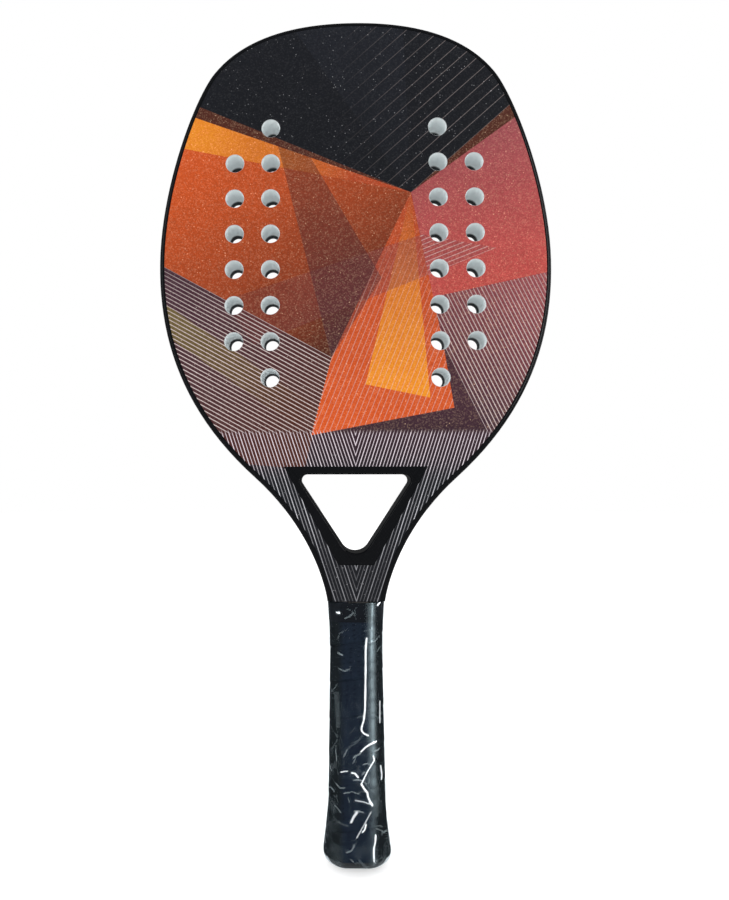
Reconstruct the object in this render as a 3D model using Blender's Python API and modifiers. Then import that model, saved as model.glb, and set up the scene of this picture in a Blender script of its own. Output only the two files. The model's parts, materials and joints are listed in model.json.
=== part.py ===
"""Beach tennis racket: hollow hairpin frame, drilled foam head between two laminates, wound handle.

Metres, +Z up. The racket stands on its butt: X is the width, Y the depth with the front face at -Y,
and the origin is the middle of the flat butt.
"""
import math

import bmesh
import bpy
from mathutils import Matrix, Vector

# Overall sizes
HANDLE_LENGTH = 0.1496
HEAD_LENGTH = 0.3504
HEAD_WIDTH = 0.2346
FRAME_DEPTH = 0.022
NECK_WIDTH = 0.0336
LENGTH = HANDLE_LENGTH + HEAD_LENGTH

# Right half of the head's edge: cubic curves through top, shoulder, widest place, flank and neck.
# Each pair is a share of half the head's width and of the head's length; the neck's own width is above.
EDGE_CURVE = (
    (0.0, 1.0), (0.2486, 1.0), (0.5595, 0.9844),
    (0.7326, 0.9087), (0.8255, 0.8680), (1.0, 0.7116),
    (1.0, 0.5724), (1.0, 0.4374), (0.8685, 0.3133),
    (0.5051, 0.2044), (0.1890, 0.1097), (None, 0.0038),
    (None, 0.0),
)
EDGE_STEPS = (8, 7, 9, 8)

# Hairpin tube
HOOP_WIDTH = 0.011
TUBE_WALL = 0.0015
EDGE_RADIUS = 0.003
INNER_EDGE_RADIUS = 0.0012
BORE_RADIUS = 0.0015
SHAFT_WIDTH = 0.008
SHAFT_DEPTH = 0.013
NECK_SLOT = 0.0006
SHAFT_SLOT = 0.0016
BORE_NECK = 0.003
ARC_POINTS = 3

# Throat window, a triangle with round corners, measured up from the neck's lower end
WINDOW_APEX = 0.020
WINDOW_TOP = 0.0734
WINDOW_HALF_TOP = 0.0352
WINDOW_APEX_RADIUS = 0.0093
WINDOW_CORNER_RADIUS = 0.0035
WINDOW_CHAMFER = 0.0012
WINDOW_BLEND = 0.025

# Unprinted border round the window, with sharp corners, measured as the window is
BORDER_FOOT = 0.0212
BORDER_TOP = 0.0778
BORDER_HALF_FOOT = 0.0102
BORDER_HALF_TOP = 0.0418

# Bridge over the window
BRIDGE_HEIGHT = 0.0128
BRIDGE_ARC_RADIUS = 0.245
BRIDGE_BORE_WALL = 0.002
BRIDGE_BORE_DEPTH = 0.015
BRIDGE_ARC_STEPS = 6

# Face laminates and the foam between them
RIM_WIDTH = 0.0032
RIM_SHIFT = 0.5
SHEET_THICKNESS = 0.0008
HOLE_DIAMETER = 0.011
HOLE_PITCH = 0.0218
INNER_COLUMN = 0.0504
COLUMN_STEP = 0.0217
FIRST_ROW_DROP = 0.0674
INNER_ROWS = range(0, 8)
OUTER_ROWS = range(1, 7)
HOLE_SIDES = 14

# Handle: an eight-sided bar, slimmer towards the neck
HANDLE_WIDTH_BUTT = 0.0282
HANDLE_WIDTH_NECK = 0.0240
HANDLE_DEPTH_BUTT = 0.0232
HANDLE_DEPTH_NECK = 0.0212
TOP_TAPER_LENGTH = 0.030
TOP_TAPER_DROP = 0.0010
HANDLE_BEVEL = 0.0055
HANDLE_CORNER_RADIUS = 0.0025
HANDLE_SIDES = 8

# Butt cap
CAP_FLOOR = 0.004
CAP_HEIGHT = 0.030
CAP_SKIRT = 0.0015
CAP_EDGE_RADIUS = 0.006
CAP_EDGE_STEPS = 4
FLARE = 0.0036
FLARE_TOP = 0.036
PLUG_LENGTH = 0.012
STAPLE_DROP = 0.005
STAPLE_SPAN = 0.009
STAPLE_WIRE = 0.0009
STAPLE_COVER = 0.0002
STAPLE_LEG = 0.0038

# Wound tape, the band over its end and the clear sleeve
TAPE_THICKNESS = 0.0017
TAPE_EDGE = 0.0009
TAPE_BEVEL = 0.0012
TAPE_PITCH = 0.0206
TAPE_SEAM = 0.0006
TAPE_TIP = 0.002
TAPE_BOTTOM = 0.0075
TAPE_TOP_GAP = 0.001
BAND_HEIGHT = 0.011
BAND_THICKNESS = 0.0003
FILM_THICKNESS = 0.0003
FILM_LIP = 0.001
FILM_TOP_GAP = 0.0006

GAP = 0.0003
CUT_MARGIN = 0.002
WELD = 0.00001

HALF_DEPTH = FRAME_DEPTH / 2
WIDEST_HEIGHT = HANDLE_LENGTH + EDGE_CURVE[6][1] * HEAD_LENGTH
SHEET_FLOOR = HALF_DEPTH - SHEET_THICKNESS - GAP
WINDOW_SLOPE = WINDOW_HALF_TOP / (WINDOW_TOP - WINDOW_APEX)
WINDOW_ANGLE = math.atan(WINDOW_SLOPE)
APEX_HEIGHT = HANDLE_LENGTH + WINDOW_APEX
WINDOW_TOP_HEIGHT = HANDLE_LENGTH + WINDOW_TOP
BRIDGE_TOP = WINDOW_TOP_HEIGHT + BRIDGE_HEIGHT
TAPE_TOP = HANDLE_LENGTH - TAPE_TOP_GAP
TAPE_WIDTH = TAPE_PITCH - TAPE_SEAM


def mix(a, b, share):
    return a + (b - a) * share


def ease(share):
    share = min(max(share, 0.0), 1.0)
    return share * share * (3 - 2 * share)


def new_collection(name):
    collection = bpy.data.collections.new(name)
    bpy.context.scene.collection.children.link(collection)
    return collection


def clear_scene():
    for obj in list(bpy.data.objects):
        bpy.data.objects.remove(obj, do_unlink=True)


def add_object(name, mesh, collection):
    obj = bpy.data.objects.new(name, mesh)
    collection.objects.link(obj)
    return obj


def as_cutter(obj):
    obj.hide_render = True
    obj.display_type = "WIRE"
    return obj


def cut(obj, cutter):
    modifier = obj.modifiers.new("cut_" + cutter.name, "BOOLEAN")
    modifier.operation = "DIFFERENCE"
    modifier.object = cutter


def finish(obj, colour, roughness, metallic=0.0, alpha=1.0):
    material = bpy.data.materials.new(obj.name + "_finish")
    material.use_nodes = True
    shader = material.node_tree.nodes["Principled BSDF"]
    shader.inputs["Base Color"].default_value = (*colour, 1.0)
    shader.inputs["Roughness"].default_value = roughness
    shader.inputs["Metallic"].default_value = metallic
    shader.inputs["Alpha"].default_value = alpha
    obj.data.materials.append(material)


def smooth(obj, angle=35):
    obj.data.shade_smooth()
    obj.data.set_sharp_from_angle(angle=math.radians(angle))


def loft(name, rings, collection, caps=False, closed=False):
    """Skin over a row of rings that have the same number of points."""
    bm = bmesh.new()
    rows = [[bm.verts.new(point) for point in ring] for ring in rings]
    pairs = list(zip(rows, rows[1:]))
    if closed:
        pairs.append((rows[-1], rows[0]))
    for row, following in pairs:
        for k in range(len(row)):
            j = (k + 1) % len(row)
            bm.faces.new((row[k], row[j], following[j], following[k]))
    if caps:
        bm.faces.new(rows[0])
        bm.faces.new(rows[-1])
    if caps or closed:
        bmesh.ops.recalc_face_normals(bm, faces=bm.faces)
    mesh = bpy.data.meshes.new(name)
    bm.to_mesh(mesh)
    bm.free()
    return add_object(name, mesh, collection)


def curve_to_mesh(obj, collection):
    """Mesh object of a curve, with its loose caps welded."""
    name = obj.name
    bpy.context.view_layer.update()
    evaluated = obj.evaluated_get(bpy.context.evaluated_depsgraph_get())
    mesh = bpy.data.meshes.new_from_object(evaluated)
    matrix = obj.matrix_world.copy()
    bm = bmesh.new()
    bm.from_mesh(mesh)
    bmesh.ops.remove_doubles(bm, verts=bm.verts, dist=WELD / 10)
    bm.to_mesh(mesh)
    bm.free()
    bpy.data.objects.remove(obj, do_unlink=True)
    solid = add_object(name, mesh, collection)
    solid.name = name
    solid.matrix_world = matrix
    return solid


def plate(name, loops, thickness, middle, collection):
    """Flat outline in the XZ plane, given its thickness along Y; inner loops are openings."""
    curve = bpy.data.curves.new(name, "CURVE")
    curve.dimensions = "2D"
    curve.fill_mode = "BOTH"
    curve.extrude = thickness / 2
    for loop in loops:
        spline = curve.splines.new("POLY")
        spline.points.add(len(loop) - 1)
        for point, (x, z) in zip(spline.points, loop):
            point.co = (x, z, 0.0, 1.0)
        spline.use_cyclic_u = True
    obj = add_object(name, curve, collection)
    obj.rotation_euler.x = math.pi / 2
    obj.location.y = middle
    return curve_to_mesh(obj, collection)


def block(name, size, centre, collection):
    bm = bmesh.new()
    bmesh.ops.create_cube(bm, size=1.0, matrix=Matrix.Translation(centre) @ Matrix.Diagonal((*size, 1.0)))
    mesh = bpy.data.meshes.new(name)
    bm.to_mesh(mesh)
    bm.free()
    return add_object(name, mesh, collection)


def edge_point(x_share, z_share):
    half = NECK_WIDTH / 2 if x_share is None else x_share * HEAD_WIDTH / 2
    return Vector((half, HANDLE_LENGTH + z_share * HEAD_LENGTH))


def edge_stations(shift=0.0):
    """(point, inward normal) pairs down the right outer edge, from the top to the neck.

    The shift is a share of a step. It keeps a rebate's corners off the planes of the tube's rings.
    """
    controls = [edge_point(*pair) for pair in EDGE_CURVE]
    stations = []
    for segment, steps in enumerate(EDGE_STEPS):
        a, b, c, d = controls[3 * segment:3 * segment + 4]
        shares = [(step + shift) / steps for step in range(steps)]
        if segment == len(EDGE_STEPS) - 1:
            shares.append(1.0)
        for t in shares:
            point = a * (1 - t) ** 3 + b * 3 * t * (1 - t) ** 2 + c * 3 * t * t * (1 - t) + d * t ** 3
            slope = (b - a) * (1 - t) ** 2 + (c - b) * 2 * t * (1 - t) + (d - c) * t * t
            slope.normalize()
            stations.append((point, Vector((slope.y, -slope.x))))
    return stations


def hairpin_width(point, inward):
    """Tube width at a station: up to the slot or the window's side, and the hoop's own width above."""
    if point.y >= WIDEST_HEIGHT:
        return HOOP_WIDTH
    to_side = (WINDOW_SLOPE * (point.y - APEX_HEIGHT) - point.x) / (inward.x - WINDOW_SLOPE * inward.y)
    hit_height = point.y + to_side * inward.y
    if to_side <= 0 or hit_height > WINDOW_TOP_HEIGHT + WINDOW_BLEND:
        return HOOP_WIDTH
    to_slot = (point.x - NECK_SLOT / 2) / -inward.x
    share = ease((hit_height - WINDOW_TOP_HEIGHT) / WINDOW_BLEND)
    return mix(min(to_side, to_slot), HOOP_WIDTH, share)


def rim_rail(inset):
    return [point + inward * inset for point, inward in edge_stations(RIM_SHIFT)]


def inner_rail(inset):
    """Inner edge of the right half of the hairpin, moved inwards by the inset."""
    return [point + inward * (hairpin_width(point, inward) + inset) for point, inward in edge_stations()]


def crossing(rail, level):
    """Index of the last rail point above the level, and the point where the rail meets it."""
    for k, (a, b) in enumerate(zip(rail, rail[1:])):
        above, below = a.y - level(a.x), b.y - level(b.x)
        if above >= 0 > below:
            return k, a.lerp(b, above / (above - below))
    raise ValueError("the rail doesn't reach the level")


def both_sides(right):
    """Closed outline from its right half, which may start or end on the middle line."""
    left = [Vector((-point.x, point.y)) for point in reversed(right) if point.x > WELD]
    return list(right) + left


def bridge_arc(x, lift=0.0):
    return BRIDGE_TOP + lift + BRIDGE_ARC_RADIUS - math.sqrt(BRIDGE_ARC_RADIUS ** 2 - x * x)


def arc_points(centre, radius, start, end, steps):
    angles = [mix(start, end, k / steps) for k in range(steps + 1)]
    return [Vector((centre[0] + radius * math.cos(a), centre[1] + radius * math.sin(a))) for a in angles]


def window_outline(grow):
    """The throat window's rounded triangle, offset outwards by the given amount."""
    side = -WINDOW_ANGLE
    apex_centre = (0.0, APEX_HEIGHT + WINDOW_APEX_RADIUS / math.sin(WINDOW_ANGLE))
    corner_z = WINDOW_TOP_HEIGHT - WINDOW_CORNER_RADIUS
    side_x = WINDOW_SLOPE * (corner_z - APEX_HEIGHT)
    corner_x = side_x - WINDOW_CORNER_RADIUS / math.cos(WINDOW_ANGLE)
    apex_radius = WINDOW_APEX_RADIUS + grow
    corner_radius = WINDOW_CORNER_RADIUS + grow
    outline = arc_points(apex_centre, apex_radius, -math.pi - side, side, 8)
    outline += arc_points((corner_x, corner_z), corner_radius, side, math.pi / 2, 5)
    outline += arc_points((-corner_x, corner_z), corner_radius, math.pi / 2, math.pi - side, 5)
    return outline


def border_outline(grow):
    """Outer corners of the border round the window, offset outwards by the given amount."""
    slope = (BORDER_HALF_TOP - BORDER_HALF_FOOT) / (BORDER_TOP - BORDER_FOOT)
    sideways = grow * math.hypot(1, slope)
    low = (BORDER_HALF_FOOT - slope * grow + sideways, HANDLE_LENGTH + BORDER_FOOT - grow)
    high = (BORDER_HALF_TOP + slope * grow + sideways, HANDLE_LENGTH + BORDER_TOP + grow)
    return [Vector((-low[0], low[1])), Vector(low), Vector(high), Vector((-high[0], high[1]))]


def section(width, half_depth, outer_radius, inner_radius, start=0.0):
    """Rounded rectangle as (across, depth) pairs; across runs from the outer edge inwards."""
    far, near = start + width, start
    corners = (
        (far - inner_radius, half_depth - inner_radius, inner_radius),
        (near + outer_radius, half_depth - outer_radius, outer_radius),
        (near + outer_radius, outer_radius - half_depth, outer_radius),
        (far - inner_radius, inner_radius - half_depth, inner_radius),
    )
    points = []
    for quarter, (across, depth, radius) in enumerate(corners):
        for k in range(ARC_POINTS):
            angle = (quarter + k / (ARC_POINTS - 1)) * math.pi / 2
            points.append((across + radius * math.cos(angle), depth + radius * math.sin(angle)))
    return points


def place_section(point, inward, pairs):
    return [(point.x + inward.x * a, depth, point.y + inward.y * a) for a, depth in pairs]


def hairpin_rings():
    """Rings of the right half: down the outside from the top, and back up the bore."""
    stations = edge_stations()
    outside, bore = [], []
    bore_half = SHEET_FLOOR - TUBE_WALL
    for point, inward in stations:
        width = hairpin_width(point, inward)
        outside.append(place_section(point, inward, section(width, HALF_DEPTH, EDGE_RADIUS, INNER_EDGE_RADIUS)))
        hollow = section(width - 2 * TUBE_WALL, bore_half, BORE_RADIUS, BORE_RADIUS, TUBE_WALL)
        if point.y > HANDLE_LENGTH + 2 * BORE_NECK:
            bore.append(place_section(point, inward, hollow))
    shaft_side = SHAFT_SLOT / 2 + SHAFT_WIDTH
    inward = Vector((-1.0, 0.0))
    shaft = section(SHAFT_WIDTH, SHAFT_DEPTH / 2, INNER_EDGE_RADIUS, INNER_EDGE_RADIUS)
    shaft_bore = section(SHAFT_WIDTH - 2 * TUBE_WALL, SHAFT_DEPTH / 2 - TUBE_WALL, BORE_RADIUS / 2,
                         BORE_RADIUS / 2, TUBE_WALL)
    shaft_end = CAP_FLOOR + GAP
    for height in (HANDLE_LENGTH, shaft_end):
        outside.append(place_section(Vector((shaft_side, height)), inward, shaft))
    for height in (HANDLE_LENGTH + BORE_NECK, shaft_end):
        bore.append(place_section(Vector((shaft_side, height)), inward, shaft_bore))
    return outside + bore[::-1]


def make_frame(parts, pocket_cutters):
    frame = loft("frame_tube", hairpin_rings(), parts)
    mirror = frame.modifiers.new("mirror", "MIRROR")
    mirror.use_axis[0] = True
    mirror.merge_threshold = WELD
    for cutter in pocket_cutters:
        cut(frame, cutter)
    finish(frame, (0.012, 0.012, 0.014), 0.35)
    smooth(frame)
    return frame


def make_pocket_cutters(cutters):
    """Rebates for the laminates: everything inside the rim, but for the border round the window."""
    right = rim_rail(RIM_WIDTH - GAP)
    right.append(Vector((right[-1].x, right[-1].y - CUT_MARGIN)))
    loops = [both_sides(right), border_outline(0.0)]
    depth = HALF_DEPTH + CUT_MARGIN - SHEET_FLOOR
    middle = SHEET_FLOOR + depth / 2
    return [as_cutter(plate("pocket_" + side, loops, depth, sign * middle, cutters))
            for side, sign in (("front", -1), ("rear", 1))]


def make_window_cutter(cutters):
    """Window with its chamfered edges at both faces."""
    far = HALF_DEPTH + CUT_MARGIN
    near = HALF_DEPTH - WINDOW_CHAMFER
    steps = ((-far, WINDOW_CHAMFER + CUT_MARGIN), (-near, 0.0), (near, 0.0), (far, WINDOW_CHAMFER + CUT_MARGIN))
    rings = [[(p.x, depth, p.y) for p in window_outline(grow)] for depth, grow in steps]
    return as_cutter(loft("window", rings, cutters, caps=True))


def make_bridge(parts, cutters, window, pocket_cutters):
    rail = inner_rail(GAP)
    wing = WINDOW_CORNER_RADIUS / math.tan((math.pi / 2 - WINDOW_ANGLE) / 2) * math.cos(WINDOW_ANGLE)
    top_index, top_corner = crossing(rail, bridge_arc)
    low_index, low_corner = crossing(rail, lambda x: WINDOW_TOP_HEIGHT - wing)
    arc_x = [top_corner.x * k / BRIDGE_ARC_STEPS for k in range(BRIDGE_ARC_STEPS)]
    right = [Vector((x, bridge_arc(x))) for x in arc_x] + [top_corner]
    right += rail[top_index + 1:low_index + 1] + [low_corner]
    bridge = plate("throat_bridge", [both_sides(right)], FRAME_DEPTH, 0.0, parts)
    bore_height = BRIDGE_HEIGHT - 2 * BRIDGE_BORE_WALL
    bore = block("bridge_bore", (HEAD_WIDTH, BRIDGE_BORE_DEPTH, bore_height),
                 (0.0, 0.0, WINDOW_TOP_HEIGHT + BRIDGE_HEIGHT / 2), cutters)
    for cutter in (window, *pocket_cutters, as_cutter(bore)):
        cut(bridge, cutter)
    finish(bridge, (0.012, 0.012, 0.014), 0.35)
    smooth(bridge)


def make_gusset(parts, window, pocket_cutters):
    rail = inner_rail(GAP)
    tangent = WINDOW_APEX_RADIUS / math.tan(WINDOW_ANGLE) * math.cos(WINDOW_ANGLE)
    foot = WINDOW_APEX_RADIUS / 6
    top_index, top_corner = crossing(rail, lambda x: APEX_HEIGHT + tangent)
    low_index, low_corner = crossing(rail, lambda x: APEX_HEIGHT + foot)
    right = [top_corner] + rail[top_index + 1:low_index + 1] + [low_corner]
    gusset = plate("throat_gusset", [both_sides(right)], FRAME_DEPTH, 0.0, parts)
    for cutter in (window, *pocket_cutters):
        cut(gusset, cutter)
    finish(gusset, (0.012, 0.012, 0.014), 0.4)
    smooth(gusset)


def hole_places():
    top_row = LENGTH - FIRST_ROW_DROP
    columns = ((INNER_COLUMN, INNER_ROWS), (INNER_COLUMN + COLUMN_STEP, OUTER_ROWS))
    return [(sign * x, top_row - row * HOLE_PITCH) for x, rows in columns for row in rows for sign in (-1, 1)]


def make_hole_cutter(cutters):
    bm = bmesh.new()
    turn = Matrix.Rotation(math.pi / 2, 4, "X")
    for x, z in hole_places():
        bmesh.ops.create_cone(bm, cap_ends=True, segments=HOLE_SIDES, radius1=HOLE_DIAMETER / 2,
                              radius2=HOLE_DIAMETER / 2, depth=FRAME_DEPTH + 2 * CUT_MARGIN,
                              matrix=Matrix.Translation((x, 0.0, z)) @ turn)
    mesh = bpy.data.meshes.new("drilled_holes")
    bm.to_mesh(mesh)
    bm.free()
    return as_cutter(add_object("drilled_holes", mesh, cutters))


def make_foam(parts, holes):
    rail = inner_rail(GAP)
    index, corner = crossing(rail, lambda x: bridge_arc(x, GAP))
    arc_x = [corner.x * k / BRIDGE_ARC_STEPS for k in range(BRIDGE_ARC_STEPS)]
    right = rail[:index + 1] + [corner] + [Vector((x, bridge_arc(x, GAP))) for x in reversed(arc_x)]
    foam = plate("foam_core", [both_sides(right)], 2 * SHEET_FLOOR, 0.0, parts)
    cut(foam, holes)
    finish(foam, (0.60, 0.67, 0.69), 0.8)
    smooth(foam)


def make_sheets(parts, holes):
    right = rim_rail(RIM_WIDTH)
    right[-1] = Vector((right[-1].x, right[-1].y + GAP))
    loops = [both_sides(right), border_outline(GAP)]
    middle = HALF_DEPTH - SHEET_THICKNESS / 2
    for name, sign in (("front_face_sheet", -1), ("rear_face_sheet", 1)):
        sheet = plate(name, loops, SHEET_THICKNESS, sign * middle, parts)
        cut(sheet, holes)
        finish(sheet, (0.30, 0.07, 0.05), 0.3)
        smooth(sheet)


def flare(height):
    """How far the handle's foot widens, as a straight cone."""
    return FLARE * max(0.0, 1 - height / FLARE_TOP)


def handle_half_sizes(height):
    share = height / HANDLE_LENGTH
    half_width = mix(HANDLE_WIDTH_BUTT, HANDLE_WIDTH_NECK, share) / 2
    half_depth = mix(HANDLE_DEPTH_BUTT, HANDLE_DEPTH_NECK, share) / 2
    top_share = max(0.0, (height - HANDLE_LENGTH + TOP_TAPER_LENGTH) / TOP_TAPER_LENGTH)
    return half_width, half_depth - TOP_TAPER_DROP * top_share


def handle_point(corner, step, height, grow):
    """Point on the rounded octagon: corner 0 to 7, step 0 to 2 along that corner's arc."""
    half_width, half_depth = handle_half_sizes(height)
    slant = (half_width + half_depth - HANDLE_BEVEL) / math.sqrt(2)
    reach = (half_width, slant, half_depth, slant)
    turn = 2 * math.pi / HANDLE_SIDES
    first, second = corner * turn, (corner + 1) * turn
    a = reach[corner % 4] - HANDLE_CORNER_RADIUS
    b = reach[(corner + 1) % 4] - HANDLE_CORNER_RADIUS
    centre_x = (a * math.sin(second) - b * math.sin(first)) / math.sin(turn)
    centre_y = (b * math.cos(first) - a * math.cos(second)) / math.sin(turn)
    angle = first + turn * step / (ARC_POINTS - 1)
    radius = HANDLE_CORNER_RADIUS + grow
    return (centre_x + radius * math.cos(angle), centre_y + radius * math.sin(angle), height)


def handle_ring(height, grow):
    return [handle_point(corner, step, height, grow)
            for corner in range(HANDLE_SIDES) for step in range(ARC_POINTS)]


def staple_wire(name, side, radius, collection):
    """U of wire on the front (-1) or rear (+1) flat of the cap's skirt, legs pointing inwards."""
    height = CAP_HEIGHT - STAPLE_DROP
    surface = handle_half_sizes(height)[1] + flare(height)
    crown = side * (surface - STAPLE_COVER - STAPLE_WIRE)
    tip = crown - side * STAPLE_LEG
    half = STAPLE_SPAN / 2
    curve = bpy.data.curves.new(name, "CURVE")
    curve.dimensions = "3D"
    curve.bevel_depth = radius
    curve.bevel_resolution = 1
    curve.use_fill_caps = True
    spline = curve.splines.new("POLY")
    spline.points.add(3)
    for point, (x, y) in zip(spline.points, ((-half, tip), (-half, crown), (half, crown), (half, tip))):
        point.co = (x, y, height, 1.0)
    return curve_to_mesh(add_object(name, curve, collection), collection)


def make_staples(parts, cutters):
    wire = STAPLE_WIRE / 2
    slots = []
    for name, side in (("front", -1), ("rear", 1)):
        staple = staple_wire("cap_staple_" + name, side, wire, parts)
        finish(staple, (0.55, 0.55, 0.56), 0.35, 1.0)
        slots.append(as_cutter(staple_wire("staple_slot_" + name, side, wire + GAP, cutters)))
    return slots


def make_pallets(parts, cutters, slots):
    """Two half shells round the shafts, set in at the foot so that the cap's skirt lies flush."""
    foot = CAP_FLOOR + GAP
    top = HANDLE_LENGTH - GAP
    shoulder = CAP_HEIGHT + GAP
    inset = -(CAP_SKIRT + GAP)
    taper = HANDLE_LENGTH - TOP_TAPER_LENGTH
    pocket = block("shaft_pocket", (2 * SHAFT_WIDTH + SHAFT_SLOT + 2 * GAP, SHAFT_DEPTH + 2 * GAP, LENGTH),
                   (0.0, 0.0, HANDLE_LENGTH / 2), cutters)
    as_cutter(pocket)
    for (name, side), slot in zip((("front", -1), ("rear", 1)), slots):
        rings = [handle_ring(foot, inset), handle_ring(shoulder, inset)]
        rings += [handle_ring(height, flare(height)) for height in (shoulder, FLARE_TOP, taper, top)]
        pallet = loft("handle_pallet_" + name, rings, parts, caps=True)
        away = block("other_half_" + name, (HEAD_WIDTH, HEAD_WIDTH, LENGTH),
                     (0.0, side * (GAP / 2 - HEAD_WIDTH / 2), HANDLE_LENGTH / 2), cutters)
        for cutter in (as_cutter(away), pocket, slot):
            cut(pallet, cutter)
        finish(pallet, (0.16, 0.15, 0.14), 0.75)
        smooth(pallet)


def cap_edge(step):
    """Height and inset of the cap's rounded lower edge, from the floor up."""
    angle = step / CAP_EDGE_STEPS * math.pi / 2
    return CAP_EDGE_RADIUS * (1 - math.cos(angle)), CAP_EDGE_RADIUS * (1 - math.sin(angle))


def make_cap(parts, slots):
    rings = []
    for step in range(CAP_EDGE_STEPS + 1):
        height, inset = cap_edge(step)
        rings.append(handle_ring(height, flare(height) - inset))
    rings.append(handle_ring(CAP_HEIGHT, flare(CAP_HEIGHT)))
    rings.append(handle_ring(CAP_HEIGHT, -CAP_SKIRT))
    rings.append(handle_ring(CAP_FLOOR, -CAP_SKIRT))
    cap = loft("butt_cap", rings, parts, caps=True)
    for slot in slots:
        cut(cap, slot)
    finish(cap, (0.02, 0.02, 0.022), 0.45)
    smooth(cap)


def make_plugs(parts):
    """Foam plugs that close the shafts' open ends."""
    bore_width = SHAFT_WIDTH - 2 * TUBE_WALL
    bore_depth = SHAFT_DEPTH - 2 * TUBE_WALL
    size = (bore_width - 2 * GAP, bore_depth - 2 * GAP, PLUG_LENGTH)
    for name, side in (("left", -1), ("right", 1)):
        x = side * (SHAFT_SLOT + SHAFT_WIDTH) / 2
        plug = block("shaft_plug_" + name, size, (x, 0.0, CAP_FLOOR + GAP + PLUG_LENGTH / 2), parts)
        bevel = plug.modifiers.new("corners", "BEVEL")
        bevel.width = BORE_RADIUS / 2
        bevel.segments = 1
        finish(plug, (0.75, 0.72, 0.62), 0.9)


def tape_layer(height, thickness):
    """Distance out from the octagon of a layer that starts one gap above the pallets and the skirt."""
    return flare(height) + GAP + thickness


def turn_shares():
    """Share of the way round at each point of the octagon, by its length."""
    ring = [Vector(point) for point in handle_ring(HANDLE_LENGTH / 2, GAP)]
    lengths = [(b - a).length for a, b in zip(ring, ring[1:] + ring[:1])]
    total = sum(lengths)
    return [sum(lengths[:k]) / total for k in range(len(ring))]


def tape_rings():
    """Sections along one tape wound up the handle; both tips are trimmed level with its ends."""
    shares = turn_shares()
    count = len(shares)
    start = TAPE_BOTTOM + TAPE_TIP - TAPE_WIDTH / 2
    end = TAPE_TOP - TAPE_TIP + TAPE_WIDTH / 2
    rings = []
    station = 0
    while True:
        turns = station // count + shares[station % count]
        centre = start + turns * TAPE_PITCH
        if centre > end:
            return rings
        low = max(centre - TAPE_WIDTH / 2, TAPE_BOTTOM)
        high = min(centre + TAPE_WIDTH / 2, TAPE_TOP)
        bevel = min(TAPE_BEVEL, (high - low) / 3)
        middle = (low + high) / 2
        corner, step = divmod(station % count, ARC_POINTS)
        pairs = ((low, 0.0), (low, TAPE_EDGE), (low + bevel, TAPE_THICKNESS), (middle, TAPE_THICKNESS),
                 (high - bevel, TAPE_THICKNESS), (high, TAPE_EDGE), (high, 0.0), (middle, 0.0))
        rings.append([handle_point(corner, step, z, tape_layer(z, t)) for z, t in pairs])
        station += 1


def least_seam(rings):
    """Least distance between a turn's upper edge and the next turn's lower edge, on points."""
    count = HANDLE_SIDES * ARC_POINTS
    gaps = []
    for lower, upper in zip(rings, rings[count:]):
        for a in (5, 6):
            for b in (0, 1):
                gaps.append((Vector(lower[a]) - Vector(upper[b])).length)
    return min(gaps)


def make_tape(parts):
    rings = tape_rings()
    print("least gap of the wound tape to itself: %.2f mm" % (least_seam(rings) * 1000))
    tape = loft("base_grip", rings, parts, caps=True)
    finish(tape, (0.014, 0.016, 0.022), 0.6)
    smooth(tape, 50)


def sleeve(name, profile, thickness, parts):
    """Thin closed wall round the handle; the profile is its inner side as (height, grow) pairs."""
    outside = [handle_ring(height, grow + thickness) for height, grow in profile]
    inside = [handle_ring(height, grow) for height, grow in reversed(profile)]
    return loft(name, outside + inside, parts, closed=True)


def make_band(parts):
    layer = TAPE_THICKNESS + GAP
    heights = (TAPE_TOP - BAND_HEIGHT, TAPE_TOP)
    band = sleeve("finishing_tape", [(z, tape_layer(z, layer)) for z in heights], BAND_THICKNESS, parts)
    finish(band, (0.012, 0.012, 0.014), 0.4)
    smooth(band)


def make_film(parts):
    """Clear sleeve: over the band, down the tape, and curled in on the cap's rounded edge."""
    over_tape = TAPE_THICKNESS + GAP
    over_band = over_tape + BAND_THICKNESS + GAP
    angle = math.acos(1 - FILM_LIP / CAP_EDGE_RADIUS)
    lip_inset = CAP_EDGE_RADIUS * (1 - math.sin(angle))
    hugging = flare(FILM_LIP) - lip_inset + GAP
    band_foot = TAPE_TOP - BAND_HEIGHT
    profile = [(FILM_LIP, hugging), (0.5 * (FILM_LIP + TAPE_BOTTOM), mix(hugging, tape_layer(0.0, over_tape), 0.7))]
    heights = (TAPE_BOTTOM, FLARE_TOP, HANDLE_LENGTH - TOP_TAPER_LENGTH, band_foot - 2 * over_tape)
    profile += [(z, tape_layer(z, over_tape)) for z in heights]
    profile += [(z, tape_layer(z, over_band)) for z in (band_foot - GAP, HANDLE_LENGTH - FILM_TOP_GAP)]
    film = sleeve("grip_film", profile, FILM_THICKNESS, parts)
    finish(film, (0.85, 0.88, 0.90), 0.08, alpha=0.25)
    smooth(film)


def main():
    clear_scene()
    parts = new_collection("beach_tennis_racket")
    cutters = new_collection("cutters")
    pockets = make_pocket_cutters(cutters)
    window = make_window_cutter(cutters)
    holes = make_hole_cutter(cutters)
    make_frame(parts, pockets)
    make_bridge(parts, cutters, window, pockets)
    make_gusset(parts, window, pockets)
    make_foam(parts, holes)
    make_sheets(parts, holes)
    slots = make_staples(parts, cutters)
    make_pallets(parts, cutters, slots)
    make_cap(parts, slots)
    make_plugs(parts)
    make_tape(parts)
    make_band(parts)
    make_film(parts)


if __name__ == "__main__":
    main()
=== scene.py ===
"""Beach tennis racket: the finished pieces and the studio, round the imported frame.

Metres, +Z up. X is the width, Y the depth with the front face at -Y, and the butt stands at Z = 0.
"""

import json
import math
from contextlib import contextmanager

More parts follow.
